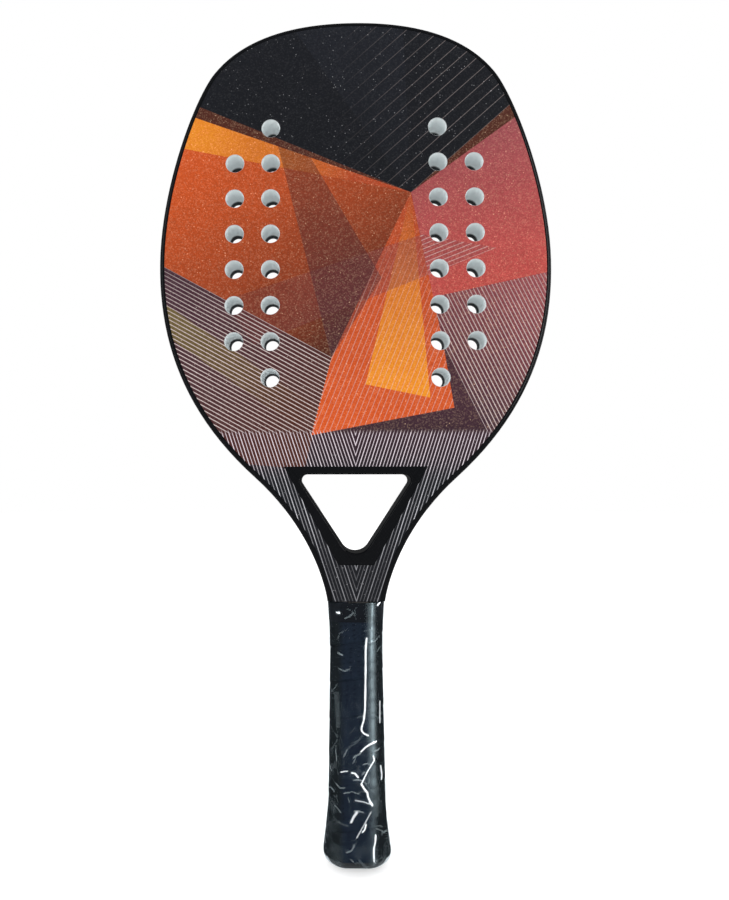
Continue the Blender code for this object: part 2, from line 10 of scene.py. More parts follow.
import bpy
import numpy as np
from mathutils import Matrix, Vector

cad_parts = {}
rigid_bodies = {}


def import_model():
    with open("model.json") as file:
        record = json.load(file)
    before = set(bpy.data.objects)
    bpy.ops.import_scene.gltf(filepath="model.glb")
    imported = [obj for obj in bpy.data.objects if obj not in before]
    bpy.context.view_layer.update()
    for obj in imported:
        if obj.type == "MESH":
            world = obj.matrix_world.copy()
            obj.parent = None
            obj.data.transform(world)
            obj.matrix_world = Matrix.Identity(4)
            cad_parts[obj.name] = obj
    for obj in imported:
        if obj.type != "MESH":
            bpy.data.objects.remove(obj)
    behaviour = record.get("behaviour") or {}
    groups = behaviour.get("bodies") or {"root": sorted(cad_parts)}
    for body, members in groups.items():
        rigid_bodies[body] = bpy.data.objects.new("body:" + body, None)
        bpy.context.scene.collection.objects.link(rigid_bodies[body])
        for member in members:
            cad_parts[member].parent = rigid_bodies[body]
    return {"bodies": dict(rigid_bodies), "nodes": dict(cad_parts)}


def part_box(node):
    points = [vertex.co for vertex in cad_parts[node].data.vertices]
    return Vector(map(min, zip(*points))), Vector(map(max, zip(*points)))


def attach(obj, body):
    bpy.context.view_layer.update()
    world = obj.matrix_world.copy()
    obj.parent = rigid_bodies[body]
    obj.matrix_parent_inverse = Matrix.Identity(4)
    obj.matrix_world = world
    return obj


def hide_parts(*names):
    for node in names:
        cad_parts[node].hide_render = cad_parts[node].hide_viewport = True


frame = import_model()

bl_info = {
    "name": "Beach Tennis Racket",
    "version": (1, 0, 0),
    "blender": (4, 5, 0),
    "location": "3D View > Sidebar > Racket",
    "description": "Builds the finished pieces of a beach tennis racket and a plain studio",
    "category": "Object",
}

BODY = sorted(frame["bodies"])[0]
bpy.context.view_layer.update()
TUBE_LOW, TUBE_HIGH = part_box("frame_tube")

# Cubic curves down the right edge of the head: shares of half the width and of the head's length.
EDGE_CURVE = (
    (0.0, 1.0), (0.2486, 1.0), (0.5595, 0.9844),
    (0.7326, 0.9087), (0.8255, 0.8680), (1.0, 0.7116),
    (1.0, 0.5724), (1.0, 0.4374), (0.8685, 0.3133),
    (0.5051, 0.2044), (0.1890, 0.1097), (None, 0.0038),
    (None, 0.0),
)
EDGE_STEPS = 22
ARC_STEPS = 16
DRILL_STEPS = 48
MM = 1000.0

# Fits, in metres
WELD = 0.00001
REACH = 0.002            # a cutter past the face that it cuts
LAMINATE_ROOM = 0.0002   # beside a laminate in its rebate
FLOOR_ROOM = 0.0001      # under a laminate
FOAM_ROOM = 0.0003       # between the foam and what it lies in
SLOT = 0.0003            # half the slot between the throat legs
TAPE_ROOM = 0.0003       # between the bare handle and its tape
BAND_ROOM = 0.0002       # between the tape and its band
FILM_ROOM = 0.00006      # between the tape and the film
LIP = 0.00022            # softened edge of a drilled hole

# The two shafts in the handle, in metres
SHAFT_WIDTH, SHAFT_DEPTH, SHAFT_CORNER = 0.008, 0.013, 0.0012
SHAFT_MIDDLE = 0.0048    # from the middle line
SHAFT_FOOT = 0.0045      # height
SHAFT_IN_LEG = 0.004     # how far a shaft reaches into its throat leg

# How far the grip's front and rear draw in at the neck, and over what heights at the neck and the butt
NECK_DRAW, NECK_ZONE, FOOT_ZONE = 0.001, 0.03, 0.014
LEAST_FLAT = 0.0006      # half the narrowest flat side of the octagon


# Sizes and colours that a user would change

def length_prop(name, description, default):
    return bpy.props.FloatProperty(name=name, description=description, default=default, unit="LENGTH")


def colour_prop(name, description, default):
    return bpy.props.FloatVectorProperty(name=name, description=description, default=default, subtype="COLOR")


class RacketHeadSizes(bpy.types.PropertyGroup):
    head_width: length_prop("Head width", "Widest place of the head", TUBE_HIGH[0] - TUBE_LOW[0])
    handle_length: length_prop("Handle length", "From the butt to the neck", 0.1496)
    racket_length: length_prop("Length", "From the butt to the top", TUBE_HIGH[2])
    neck_width: length_prop("Neck width", "Width just above the grip", 0.0336)
    frame_depth: length_prop("Frame depth", "From the front face to the rear face", 0.022)
    edge_radius: length_prop("Edge radius", "Rounding of the rim", 0.0026)
    hoop_width: length_prop("Hoop width", "Width of the tube round the head", 0.011)
    rim_width: length_prop("Rim width", "Black rim outside the print", 0.0032)
    sheet_thickness: length_prop("Laminate thickness", "Thickness of a printed face", 0.0008)
    hole_diameter: length_prop("Hole diameter", "Drilled holes in the faces", 0.011)
    rear_bore: length_prop("Rear bore", "Diameter that the drilled foam closes to behind", 0.0083)
    hole_pitch: length_prop("Hole pitch", "From one row of holes to the next", 0.0218)
    inner_column: length_prop("Inner column", "Middle line to the inner holes", 0.0504)
    outer_column: length_prop("Outer column", "Middle line to the outer holes", 0.0721)
    first_row: length_prop("First row", "Height of the top row of holes", 0.4326)


class RacketThroatSizes(bpy.types.PropertyGroup):
    apex_height: length_prop("Apex", "Height where the window's sides would meet", 0.1696)
    top_height: length_prop("Top", "Height of the window's upper edge", 0.223)
    half_top: length_prop("Half width", "Half the window's width at its top, without its corners", 0.0352)
    apex_radius: length_prop("Lower radius", "Radius of the window's lower corner", 0.0093)
    corner_radius: length_prop("Upper radius", "Radius of the window's upper corners", 0.0035)
    rounding: length_prop("Rounding", "Rounded edge of the window", 0.0012)
    border_foot: length_prop("Border foot", "Height of the black border's lower corners", 0.1708)
    border_top: length_prop("Border top", "Height of the black border's upper corners", 0.2274)
    border_half_foot: length_prop("Border foot half width", "Middle line to a lower corner", 0.0102)
    border_half_top: length_prop("Border top half width", "Middle line to an upper corner", 0.0418)
    bridge_height: length_prop("Bridge", "Height of the bridge over the window", 0.0128)
    arc_radius: length_prop("Bridge arc", "Radius of the bridge's upper side", 0.245)
    seam: length_prop("Seam", "Hairline between frame, bridge and gusset", 0.00006)


class RacketHandleSizes(bpy.types.PropertyGroup):
    width_butt: length_prop("Width at the butt", "Bare handle", 0.0288)
    width_neck: length_prop("Width at the neck", "Bare handle", 0.0248)
    depth_butt: length_prop("Depth at the butt", "Bare handle", 0.0232)
    depth_neck: length_prop("Depth at the neck", "Bare handle", 0.0212)
    bevel: length_prop("Bevel", "Cut corners of the eight sides", 0.0055)
    corner_radius: length_prop("Corner radius", "Rounding between two sides", 0.0032)
    foot_rounding: length_prop("Foot rounding", "How much rounder the corners are at the butt", 0.0058)
    flare: length_prop("Flare", "How far the foot widens", 0.0036)
    flare_top: length_prop("Flare height", "Height where the foot starts to widen", 0.036)
    shoulder: length_prop("Shoulder", "How far the grip widens to meet the neck", 0.0016)
    shoulder_foot: length_prop("Shoulder foot", "Height where the grip starts to widen", 0.114)
    cap_radius: length_prop("Butt edge radius", "Rounded lower edge of the cap", 0.0062)
    foot_draw: length_prop("Foot draw", "How far the front and rear draw in at the butt", 0.0045)
    tape_pitch: length_prop("Tape pitch", "Rise of the wound tape in one turn", 0.0206)
    tape_thickness: length_prop("Tape thickness", "Cushioned tape", 0.0021)
    film_thickness: length_prop("Film thickness", "Clear shrink film", 0.00012)
    crease_seed: bpy.props.IntProperty(
        name="Crease seed", description="Another number gives other small creases in the film", default=8)


class RacketColours(bpy.types.PropertyGroup):
    charcoal: colour_prop("Charcoal", "Print at the crown", (0.0064, 0.0074, 0.0108))
    umber: colour_prop("Umber", "Dark warm ground of the print", (0.075, 0.020, 0.012))
    rust: colour_prop("Rust", "Print", (0.400, 0.060, 0.020))
    orange: colour_prop("Orange", "Print", (0.680, 0.098, 0.018))
    amber: colour_prop("Amber", "Print", (0.880, 0.290, 0.020))
    coral: colour_prop("Coral", "Print", (0.500, 0.072, 0.060))
    rose: colour_prop("Rose", "Print", (0.300, 0.070, 0.080))
    plum: colour_prop("Plum", "Print", (0.058, 0.023, 0.035))
    olive: colour_prop("Olive", "Print", (0.160, 0.120, 0.045))
    pinstripe: colour_prop("Pinstripe", "Fine lines of the print", (0.66, 0.55, 0.53))
    lacquer: colour_prop("Lacquer", "Rim and window border", (0.0034, 0.0038, 0.0048))
    foam: colour_prop("Foam", "Drilled foam of the head", (0.89, 0.945, 0.955))
    tape: colour_prop("Tape", "Wound tape", (0.0186, 0.0252, 0.0395))


class RacketStudioSettings(bpy.types.PropertyGroup):
    lens: bpy.props.FloatProperty(name="Lens", description="Focal length in millimetres", default=28.0)
    camera_place: bpy.props.FloatVectorProperty(
        name="Camera", description="Place of the camera", subtype="TRANSLATION",
        default=(-0.01564, -0.42139, 0.22344))
    camera_turn: bpy.props.FloatVectorProperty(
        name="Camera angles", description="Camera angles in degrees", default=(94.145, 0.064, 1.142))
    shift: bpy.props.FloatVectorProperty(
        name="Shift", description="Share of the picture's height that the view is shifted by", size=2,
        default=(0.055, -0.030))
    daylight: bpy.props.FloatProperty(
        name="Daylight", description="Strength of the even light from all sides", default=0.80)
    lamp_power: bpy.props.FloatProperty(
        name="Lamp power", description="Watts of the strongest soft lamp", default=13.0)


GROUPS = {
    "racket_head": RacketHeadSizes,
    "racket_throat": RacketThroatSizes,
    "racket_handle": RacketHandleSizes,
    "racket_colours": RacketColours,
    "racket_studio": RacketStudioSettings,
}


def sizes(part):
    return getattr(bpy.context.scene, "racket_" + part)


# Modelling helpers

def deselect():
    if bpy.context.object and bpy.context.object.mode != "OBJECT":
        bpy.ops.object.mode_set(mode="OBJECT")
    bpy.ops.object.select_all(action="DESELECT")


def activate(*pieces):
    deselect()
    for piece in pieces:
        piece.select_set(True)
    bpy.context.view_layer.objects.active = pieces[0]


def discard(*pieces):
    activate(*pieces)
    bpy.ops.object.delete()


def settle(piece, name):
    """Object at the origin, unturned and unscaled, with its place in its mesh."""
    activate(piece)
    bpy.ops.object.transform_apply(location=True, rotation=True, scale=True)
    piece.name = name
    piece.data.name = name
    return piece


@contextmanager
def editing(piece, action="SELECT"):
    """Edit mode on one piece, with all of it selected or nothing."""
    activate(piece)
    bpy.ops.object.mode_set(mode="EDIT")
    bpy.ops.mesh.select_all(action=action)
    yield
    bpy.ops.object.mode_set(mode="OBJECT")


def close_doubles(piece, distance=WELD / 10):
    """Merge what lies on itself and turn all faces outwards."""
    with editing(piece):
        bpy.ops.mesh.remove_doubles(threshold=distance)
        bpy.ops.mesh.normals_make_consistent(inside=False)


def fill_openings(piece):
    """Close each open loop of edges with one face."""
    with editing(piece, "DESELECT"):
        bpy.ops.mesh.select_mode(type="EDGE")
        bpy.ops.mesh.select_non_manifold(extend=False, use_wire=False, use_multi_face=False,
                                         use_non_contiguous=False, use_verts=False)
        bpy.ops.mesh.fill_holes(sides=0)
        bpy.ops.mesh.select_all(action="SELECT")
        bpy.ops.mesh.normals_make_consistent(inside=False)


def apply_modifier(piece, kind, name, **settings):
    activate(piece)
    bpy.ops.object.modifier_add(type=kind)
    modifier = piece.modifiers[-1]
    modifier.name = name
    for key, value in settings.items():
        setattr(modifier, key, value)
    bpy.ops.object.modifier_apply(modifier=modifier.name)


def carve(piece, *cutters, operation="DIFFERENCE"):
    for cutter in cutters:
        apply_modifier(piece, "BOOLEAN", "carve " + cutter.name, object=cutter, solver="EXACT",
                       operation=operation)


def finish_piece(piece, material, node, angle=35, flat_faces=False):
    """One finish, smooth shading but for the edges sharper than the angle, and the node it stands for."""
    piece.data.materials.clear()
    piece.data.materials.append(material)
    activate(piece)
    bpy.ops.object.shade_smooth_by_angle(angle=math.radians(angle), keep_sharp_edges=False)
    if flat_faces:
        apply_modifier(piece, "WEIGHTED_NORMAL", "flat faces stay flat", keep_sharp=True, weight=100)
    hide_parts(node)
    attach(piece, BODY)


def plate(name, loops, half_thickness, middle=0.0, edge=0.0, edge_steps=2):
    """Filled outline in the XZ plane with a rounded edge; inner loops are openings."""
    curve = bpy.data.curves.new(name, "CURVE")
    curve.dimensions = "2D"
    curve.fill_mode = "BOTH"
    curve.extrude = half_thickness - edge
    curve.bevel_depth = edge
    curve.bevel_resolution = edge_steps
    curve.offset = -edge
    for loop in loops:
        spline = curve.splines.new("POLY")
        spline.points.add(len(loop) - 1)
        for point, (x, z) in zip(spline.points, loop):
            point.co = (x, z, 0.0, 1.0)
        spline.use_cyclic_u = True
    piece = bpy.data.objects.new(name, curve)
    bpy.context.scene.collection.objects.link(piece)
    activate(piece)
    piece.rotation_euler.x = math.pi / 2
    piece.location.y = middle
    bpy.ops.object.convert(target="MESH")
    piece = settle(bpy.context.object, name)
    close_doubles(piece)
    return piece


def extruded_rings(name, count, levels, place):
    """A disc extruded through (depth, grow) levels; place(ring point, grow) gives each point's x and z."""
    deselect()
    bpy.ops.mesh.primitive_circle_add(vertices=count, radius=1.0, fill_type="NGON")
    piece = bpy.context.object
    piece.name = name
    with editing(piece):
        for _ in levels[1:]:
            bpy.ops.mesh.extrude_region_move(TRANSFORM_OT_translate={"value": (0, 0, 1)})
    for vertex in piece.data.vertices:
        depth, grow = levels[round(vertex.co.z)]
        x, z = place(vertex.co.xy, grow)
        vertex.co = (x, depth, z)
    return piece


def to_other_face(levels):
    """The levels at the front face, and the same again in reverse at the rear face."""
    return levels + [(-depth, grow) for depth, grow in reversed(levels)]


def wrapped_grid(name, across, along, place):
    """A grid primitive rolled into shape: place(u, v) gives the points for u, v from 0 to 1, as arrays."""
    deselect()
    bpy.ops.mesh.primitive_grid_add(x_subdivisions=across, y_subdivisions=along, size=1.0, calc_uvs=True)
    piece = bpy.context.object
    count = len(piece.data.vertices)
    flat = np.empty(count * 3)
    piece.data.vertices.foreach_get("co", flat)
    flat = flat.reshape(-1, 3) + 0.5
    points = place(np.round(flat[:, 0] * across) / across, np.round(flat[:, 1] * along) / along)
    piece.data.vertices.foreach_set("co", points.reshape(-1))
    piece.data.update()
    piece.name = name
    piece.data.name = name
    close_doubles(piece)
    return piece


def columns(profile, closed=False):
    """The two columns of a list of pairs; a closed one has its first pair again at its end."""
    return np.array(profile + profile[:1] if closed else profile).T


# Shapes of the head and the throat

def edge_point(x_share, z_share):
    head = sizes("head")
    half = head.neck_width / 2 if x_share is None else x_share * head.head_width / 2
    return Vector((half, head.handle_length + z_share * (head.racket_length - head.handle_length)))


def edge_stations(shift=0.0):
    """(point, inward normal) pairs down the right outer edge, from the top to the neck."""
    controls = [edge_point(*pair) for pair in EDGE_CURVE]
    stations = []
    for first in range(0, len(controls) - 1, 3):
        a, b, c, d = controls[first:first + 4]
        shares = [(step + shift) / EDGE_STEPS for step in range(EDGE_STEPS)]
        if first + 4 == len(controls):
            shares.append(1.0)
        for t in shares:
            point = a * (1 - t) ** 3 + b * 3 * t * (1 - t) ** 2 + c * 3 * t * t * (1 - t) + d * t ** 3
            slope = (b - a) * (1 - t) ** 2 + (c - b) * 2 * t * (1 - t) + (d - c) * t * t
            slope.normalize()
            stations.append((point, Vector((slope.y, -slope.x))))
    return stations


def window_slope():
    """How far a side of the throat window leans out for its height."""
    throat = sizes("throat")
    return throat.half_top / (throat.top_height - throat.apex_height)


def tube_width(point, inward):
    """Tube width at a station: up to the window's side or the slot, and the hoop's own width above."""
    hoop_width, throat, slope = sizes("head").hoop_width, sizes("throat"), window_slope()
    blend, head_start = 0.025, 0.3
    if point.y > head_start:
        return hoop_width
    to_side = (slope * (point.y - throat.apex_height) - point.x) / (inward.x - slope * inward.y)
    hit = point.y + to_side * inward.y
    if to_side <= 0 or hit > throat.top_height + blend:
        return hoop_width
    share = min(max((hit - throat.top_height) / blend, 0.0), 1.0)
    share = share * share * (3 - 2 * share)
    narrow = min(to_side, (point.x - SLOT) / -inward.x)
    return narrow + (hoop_width - narrow) * share


def outer_rail(inset, shift=0.0):
    return [point + inward * inset for point, inward in edge_stations(shift)]


def inner_rail(inset):
    return [point + inward * (tube_width(point, inward) + inset) for point, inward in edge_stations()]


def crossing(rail, level):
    """Index of the last rail point above the level, and the point where the rail meets it."""
    for k, (a, b) in enumerate(zip(rail, rail[1:])):
        above, below = a.y - level(a.x), b.y - level(b.x)
        if above >= 0 > below:
            return k, a.lerp(b, above / (above - below))
    raise ValueError("the rail doesn't reach the level")


def rail_between(rail, upper, lower):
    first, start = crossing(rail, upper)
    last, end = crossing(rail, lower)
    return [start] + rail[first + 1:last + 1] + [end]


def both_sides(right):
    left = [Vector((-point.x, point.y)) for point in reversed(right) if point.x > WELD]
    return list(right) + left


def bridge_arc(x, lift=0.0):
    """Height of the bridge's upper side."""
    throat = sizes("throat")
    radius = throat.arc_radius
    return throat.top_height + throat.bridge_height + lift + radius - math.sqrt(radius * radius - x * x)


def bridge_arc_points(end, lift=0.0):
    """Points on the bridge's upper side, from the middle line to just before the end."""
    places = [end * k / ARC_STEPS for k in range(ARC_STEPS)]
    return [Vector((x, bridge_arc(x, lift))) for x in places]


def arc_points(centre, radius, start, end, steps):
    angles = [start + (end - start) * k / steps for k in range(steps + 1)]
    return [Vector((centre[0] + radius * math.cos(a), centre[1] + radius * math.sin(a))) for a in angles]


def window_outline(grow):
    """The throat window's rounded triangle, offset outwards by the given amount."""
    throat, slope = sizes("throat"), window_slope()
    angle = math.atan(slope)
    radius = throat.corner_radius
    apex_centre = (0.0, throat.apex_height + throat.apex_radius / math.sin(angle))
    corner_z = throat.top_height - radius
    corner_x = slope * (corner_z - throat.apex_height) - radius / math.cos(angle)
    outline = arc_points(apex_centre, throat.apex_radius + grow, angle - math.pi, -angle, 20)
    outline += arc_points((corner_x, corner_z), radius + grow, -angle, math.pi / 2, 12)
    outline += arc_points((-corner_x, corner_z), radius + grow, math.pi / 2, math.pi + angle, 12)
    return outline


def border_outline(grow):
    """Outer corners of the border round the window, offset outwards by the given amount."""
    throat = sizes("throat")
    slope = (throat.border_half_top - throat.border_half_foot) / (throat.border_top - throat.border_foot)
    sideways = grow * math.hypot(1, slope)
    low = (throat.border_half_foot - slope * grow + sideways, throat.border_foot - grow)
    high = (throat.border_half_top + slope * grow + sideways, throat.border_top + grow)
    return [Vector((-low[0], low[1])), Vector(low), Vector(high), Vector((-high[0], high[1]))]


def window_cutter():
    """Window with rounded edges at both faces, bridged from one outline to the next."""
    half, round_edge = sizes("head").frame_depth / 2, sizes("throat").rounding
    levels = [(-half - REACH, round_edge + REACH)]
    for step in range(5):
        angle = step / 4 * math.pi / 2
        levels.append((round_edge * (1 - math.cos(angle)) - half, round_edge * (1 - math.sin(angle))))
    outlines = {grow: window_outline(grow) for _, grow in levels}
    count = len(window_outline(0.0))

    def place(ring, grow):
        return outlines[grow][round((math.atan2(ring.y, ring.x) / (2 * math.pi)) % 1 * count) % count]

    cutter = extruded_rings("window cutter", count, to_other_face(levels), place)
    close_doubles(cutter)
    return cutter


def pocket_cutters():
    """Rebates for the laminates: inside the rim, but for the border round the window."""
    head = sizes("head")
    right = outer_rail(head.rim_width - LAMINATE_ROOM, 0.5)
    right.append(Vector((right[-1].x, right[-1].y - REACH)))
    loops = [both_sides(right), border_outline(0.0)]
    floor = head.frame_depth / 2 - head.sheet_thickness - FLOOR_ROOM
    half = (head.frame_depth / 2 + REACH - floor) / 2
    return [plate("rebate", loops, half, sign * (floor + half)) for sign in (-1, 1)]


def hole_places():
    head = sizes("head")
    places = []
    for column, rows in ((head.inner_column, range(8)), (head.outer_column, range(1, 7))):
        places += [(side * column, head.first_row - row * head.hole_pitch) for row in rows for side in (-1, 1)]
    return places


def drill_cutter(through_foam=False):
    """All the drills as one object: one drill modelled with a softened lip, then copied to each place."""
    head = sizes("head")
    radius, half = head.hole_diameter / 2, head.frame_depth / 2
    levels = [(-half - REACH, LIP + REACH), (-half, LIP), (-half + 0.4 * LIP, 0.3 * LIP), (-half + LIP, 0.0)]
    if through_foam:
        closed = head.rear_bore / 2 - radius
        levels += [(0.0045, 0.0), (0.0070, closed * 0.4), (0.0095, closed), (half + REACH, closed)]
    else:
        levels = to_other_face(levels)
    drill = extruded_rings("drill", DRILL_STEPS, levels,
                           lambda ring, grow: ring.normalized() * (radius + grow))
    drills = []
    for x, z in hole_places():
        copy = drill.copy()
        copy.data = drill.data.copy()
        copy.location = (x, 0.0, z)
        bpy.context.scene.collection.objects.link(copy)
        drills.append(copy)
    discard(drill)
    activate(*drills)
    bpy.ops.object.join()
    cutter = settle(bpy.context.object, "drills")
    close_doubles(cutter)
    return cutter


# Shapes of the handle

def flare(height):
    handle = sizes("handle")
    return handle.flare * np.clip(1 - height / handle.flare_top, 0.0, None) ** 1.3


def handle_point(share, height, grow):
    """Points on the rounded octagon as an array: share of the way round, height, and distance outwards."""
    handle, neck = sizes("handle"), sizes("head").handle_length
    share, height, grow = np.broadcast_arrays(share, height, grow)
    along = height / neck
    shoulder = np.clip((height - handle.shoulder_foot) / (neck - handle.shoulder_foot), 0.0, None)
    half_width = (handle.width_butt + (handle.width_neck - handle.width_butt) * along) / 2
    half_width = half_width + handle.shoulder * shoulder ** 1.8
    half_depth = (handle.depth_butt + (handle.depth_neck - handle.depth_butt) * along) / 2
    half_depth = half_depth - NECK_DRAW * np.clip((height - neck + NECK_ZONE) / NECK_ZONE, 0.0, None)
    half_depth = half_depth - handle.foot_draw * np.clip(1 - height / FOOT_ZONE, 0.0, None) ** 2
    slant = (half_width + half_depth - handle.bevel) / math.sqrt(2)
    rounder = np.clip(1 - height / handle.flare_top, 0.0, None)
    rounding = np.minimum(handle.corner_radius + handle.foot_rounding * rounder, half_depth - LEAST_FLAT)
    reach = np.stack([half_width, slant, half_depth, slant]) - rounding
    turn = math.pi / 4
    place = share * 8
    corner = np.floor(place).astype(int)
    part = place - corner

    def centre(k):
        first = k * turn
        a = np.take_along_axis(reach, (k % 4)[None], 0)[0]
        b = np.take_along_axis(reach, ((k + 1) % 4)[None], 0)[0]
        return ((a * np.sin(first + turn) - b * np.sin(first)) / math.sin(turn),
                (b * np.cos(first) - a * np.cos(first + turn)) / math.sin(turn))

    arc_share = 0.36
    angle = (corner + np.clip(part / arc_share, 0, 1)) * turn
    slide = np.clip((part - arc_share) / (1 - arc_share), 0, 1)
    here, there = centre(corner), centre(corner + 1)
    radius = rounding + grow
    x = here[0] * (1 - slide) + there[0] * slide + radius * np.cos(angle)
    y = here[1] * (1 - slide) + there[1] * slide + radius * np.sin(angle)
    return np.stack([x, y, height], -1)


def even_shares(u, grow, rear_weight):
    """Shares of the way round that lie evenly on the surface, and closer together on the front."""
    middle_height = 0.07
    fine = np.linspace(0.0, 1.0, 4001)
    ring = handle_point(fine % 1.0, middle_height, grow)
    steps = np.hypot(np.diff(ring[:, 0]), np.diff(ring[:, 1]))
    travelled = np.cumsum(steps * np.where(ring[1:, 1] < 0, 1.0, rear_weight))
    return np.interp(u, np.concatenate([[0.0], travelled / travelled[-1]]), fine)


# Shader helpers

class Socket:
    """An output socket that Python's operators work on: each operator adds its Math node."""

    def __init__(self, nodes, output):
        self.nodes, self.output = nodes, output

    def __add__(self, other):
        return self.nodes.math("ADD", self, other)

    def __sub__(self, other):
        return self.nodes.math("SUBTRACT", self, other)

    def __rsub__(self, other):
        return self.nodes.math("SUBTRACT", other, self)

    def __mul__(self, other):
        return self.nodes.math("MULTIPLY", self, other)

    def __truediv__(self, other):
        return self.nodes.math("DIVIDE", self, other)

    def __rtruediv__(self, other):
        return self.nodes.math("DIVIDE", other, self)

    def __lt__(self, other):
        return self.nodes.math("LESS_THAN", self, other)

    def __gt__(self, other):
        return self.nodes.math("GREATER_THAN", self, other)

    def __abs__(self):
        return self.nodes.math("ABSOLUTE", self)

    __radd__ = __add__
    __rmul__ = __mul__


class Nodes:
    """A node tree under construction."""

    def __init__(self, tree):
        self.tree = tree

    def node(self, kind, settings, *values, output=0, **named):
        """Add a node: its settings, then a value or a link for each socket; None keeps the default."""
        node = self.tree.nodes.new(kind)
        for key, value in settings.items():
            setattr(node, key, value)
        for socket, value in zip(node.inputs, values):
            self.feed(socket, value)
        for name, value in named.items():
            self.feed(node.inputs[name], value)
        return Socket(self, node.outputs[output])

    def feed(self, socket, value):
        if isinstance(value, Socket):
            self.tree.links.new(value.output, socket)
        elif value is not None:
            if socket.type == "RGBA" and len(value) == 3:
                value = (*value, 1.0)
            socket.default_value = value

    def math(self, operation, *values, clamp=False):
        return self.node("ShaderNodeMath", {"operation": operation, "use_clamp": clamp}, *values)

    def clamp(self, value):
        return self.math("ADD", value, 0.0, clamp=True)

    def white_for_sight(self):
        """1 where the camera, a reflection or a see-through surface looks, 0 for the light on things."""
        camera, glossy, through = (self.node("ShaderNodeLightPath", {}, output=name)
                                   for name in ("Is Camera Ray", "Is Glossy Ray", "Is Transmission Ray"))
        return self.clamp(camera + glossy + through)


class Finish(Nodes):
    """A material under construction, on Object coordinates."""

    def __init__(self, name):
        self.material = bpy.data.materials.new(name)
        self.material.use_nodes = True
        super().__init__(self.material.node_tree)
        self.shader = self.tree.nodes["Principled BSDF"]
        self.vector = self.node("ShaderNodeTexCoord", {}, output="Object")

    def complete(self, **sockets):
        """Feed the shader's own sockets, base_color for Base Color and so on, and give the material."""
        for key, value in sockets.items():
            self.feed(self.shader.inputs[key.replace("_", " ").title().replace("Ior", "IOR")], value)
        return self.material

    def lay_over(self, share, under):
        """Show this finish by the given share over another shader, and give the material."""
        mixed = self.node("ShaderNodeMixShader", {}, share, under, Socket(self, self.shader.outputs[0]))
        self.feed(self.tree.nodes["Material Output"].inputs["Surface"], mixed)
        return self.material

    def axis(self, name):
        """X, Y or Z in millimetres."""
        return self.node("ShaderNodeSeparateXYZ", {}, self.vector, output=name) * MM

    def ramp(self, value, low, high):
        """0 below low, 1 above high, with a soft start and end."""
        return self.node("ShaderNodeMapRange", {"interpolation_type": "SMOOTHSTEP", "clamp": True},
                         value, low, high, 0.0, 1.0)

    def edge(self, distance, softness):
        """1 where the distance is above 0, and 0 where it is below, over the given softness."""
        return self.math("ADD", distance / softness, 0.5, clamp=True)

    def blend(self, share, first, second, mode="MIX"):
        """Mix of two colours; the sockets between the share and the colours are for other kinds of mix."""
        return self.node("ShaderNodeMix", {"data_type": "RGBA", "blend_type": mode, "clamp_factor": True},
                         share, None, None, None, None, None, first, second, output=2)

    def noise(self, scale, detail=2.0, roughness=0.5, vector=None):
        return self.node("ShaderNodeTexNoise", {}, vector or self.vector, None, scale, detail, roughness)

    def streaks(self, scales, detail):
        """Noise drawn out along the axes with the smaller scales."""
        return self.noise(1.0, detail, vector=self.node("ShaderNodeMapping", {}, self.vector, Scale=scales))

    def cells(self, scale, output="Distance", feature="F1"):
        return self.node("ShaderNodeTexVoronoi", {"feature": feature}, self.vector, None, scale, output=output)

    def bump(self, height, strength, distance):
        """Bump whose height is a share of the distance, in metres."""
        return self.node("ShaderNodeBump", {}, Strength=strength, Distance=distance, Height=height)


def grey(level):
    return (level, level, level)


def shade(colour, share):
    """A colour made darker or paler, and never whiter than bleached foam."""
    return [min(0.97, channel * share) for channel in colour]


class FlatPrint:
    """Straight-edged artwork on the plane of x and z, in millimetres: facets with gradients, and lines."""

    def __init__(self, finish, x, z, ground=None):
        self.finish, self.x, self.z, self.colour = finish, x, z, ground

    def beside(self, a, b):
        """Distance to the left of the line from a to b, seen from the front."""
        length = math.hypot(b[0] - a[0], b[1] - a[1])
        nx, nz = -(b[1] - a[1]) / length, (b[0] - a[0]) / length
        return self.x * nx + self.z * nz - (a[0] * nx + a[1] * nz)

    def along(self, a, b):
        """0 at a, 1 at b, measured along the line between them."""
        dx, dz = b[0] - a[0], b[1] - a[1]
        square = dx * dx + dz * dz
        return self.finish.clamp((self.x * dx + self.z * dz - (a[0] * dx + a[1] * dz)) / square)

    def pinstripes(self, a, b, pitch, width):
        """Fine lines side by side, parallel to the line from a to b."""
        fold = self.finish.math("PINGPONG", self.beside(a, b), pitch / 2)
        return self.finish.edge(width / 2 - fold, 0.22)

    def facet(self, corners, first, second, start, end, strength=1.0, closed=True):
        """Lay a facet, its corners anticlockwise, with a gradient from start to end, and give its mask."""
        sides = zip(corners, corners[1:] + corners[:1] if closed else corners[1:])
        depth = None
        for side in sides:
            distance = self.beside(*side)
            depth = distance if depth is None else self.finish.math("MINIMUM", depth, distance)
        mask = self.finish.edge(depth, 0.25)
        gradient = self.finish.blend(self.along(start, end), first, second)
        self.colour = self.finish.blend(mask * strength, self.colour, gradient)
        return mask


def glitter(finish, speckle, shine):
    """Flakes under the coat: a fine speckle and sparse bright ones, as a share of full brightness."""
    fine, bright = (
        finish.ramp(finish.node("ShaderNodeSeparateColor", {}, finish.cells(scale, "Color"), output=channel),
                    low, 1.0)
        for scale, channel, low in ((1500.0, 0, 0.55), (620.0, 1, 0.62)))
    dot = 1 - finish.ramp(finish.cells(620.0), 0.10, 0.32)
    return finish.clamp(fine * speckle + bright * bright * dot * shine)


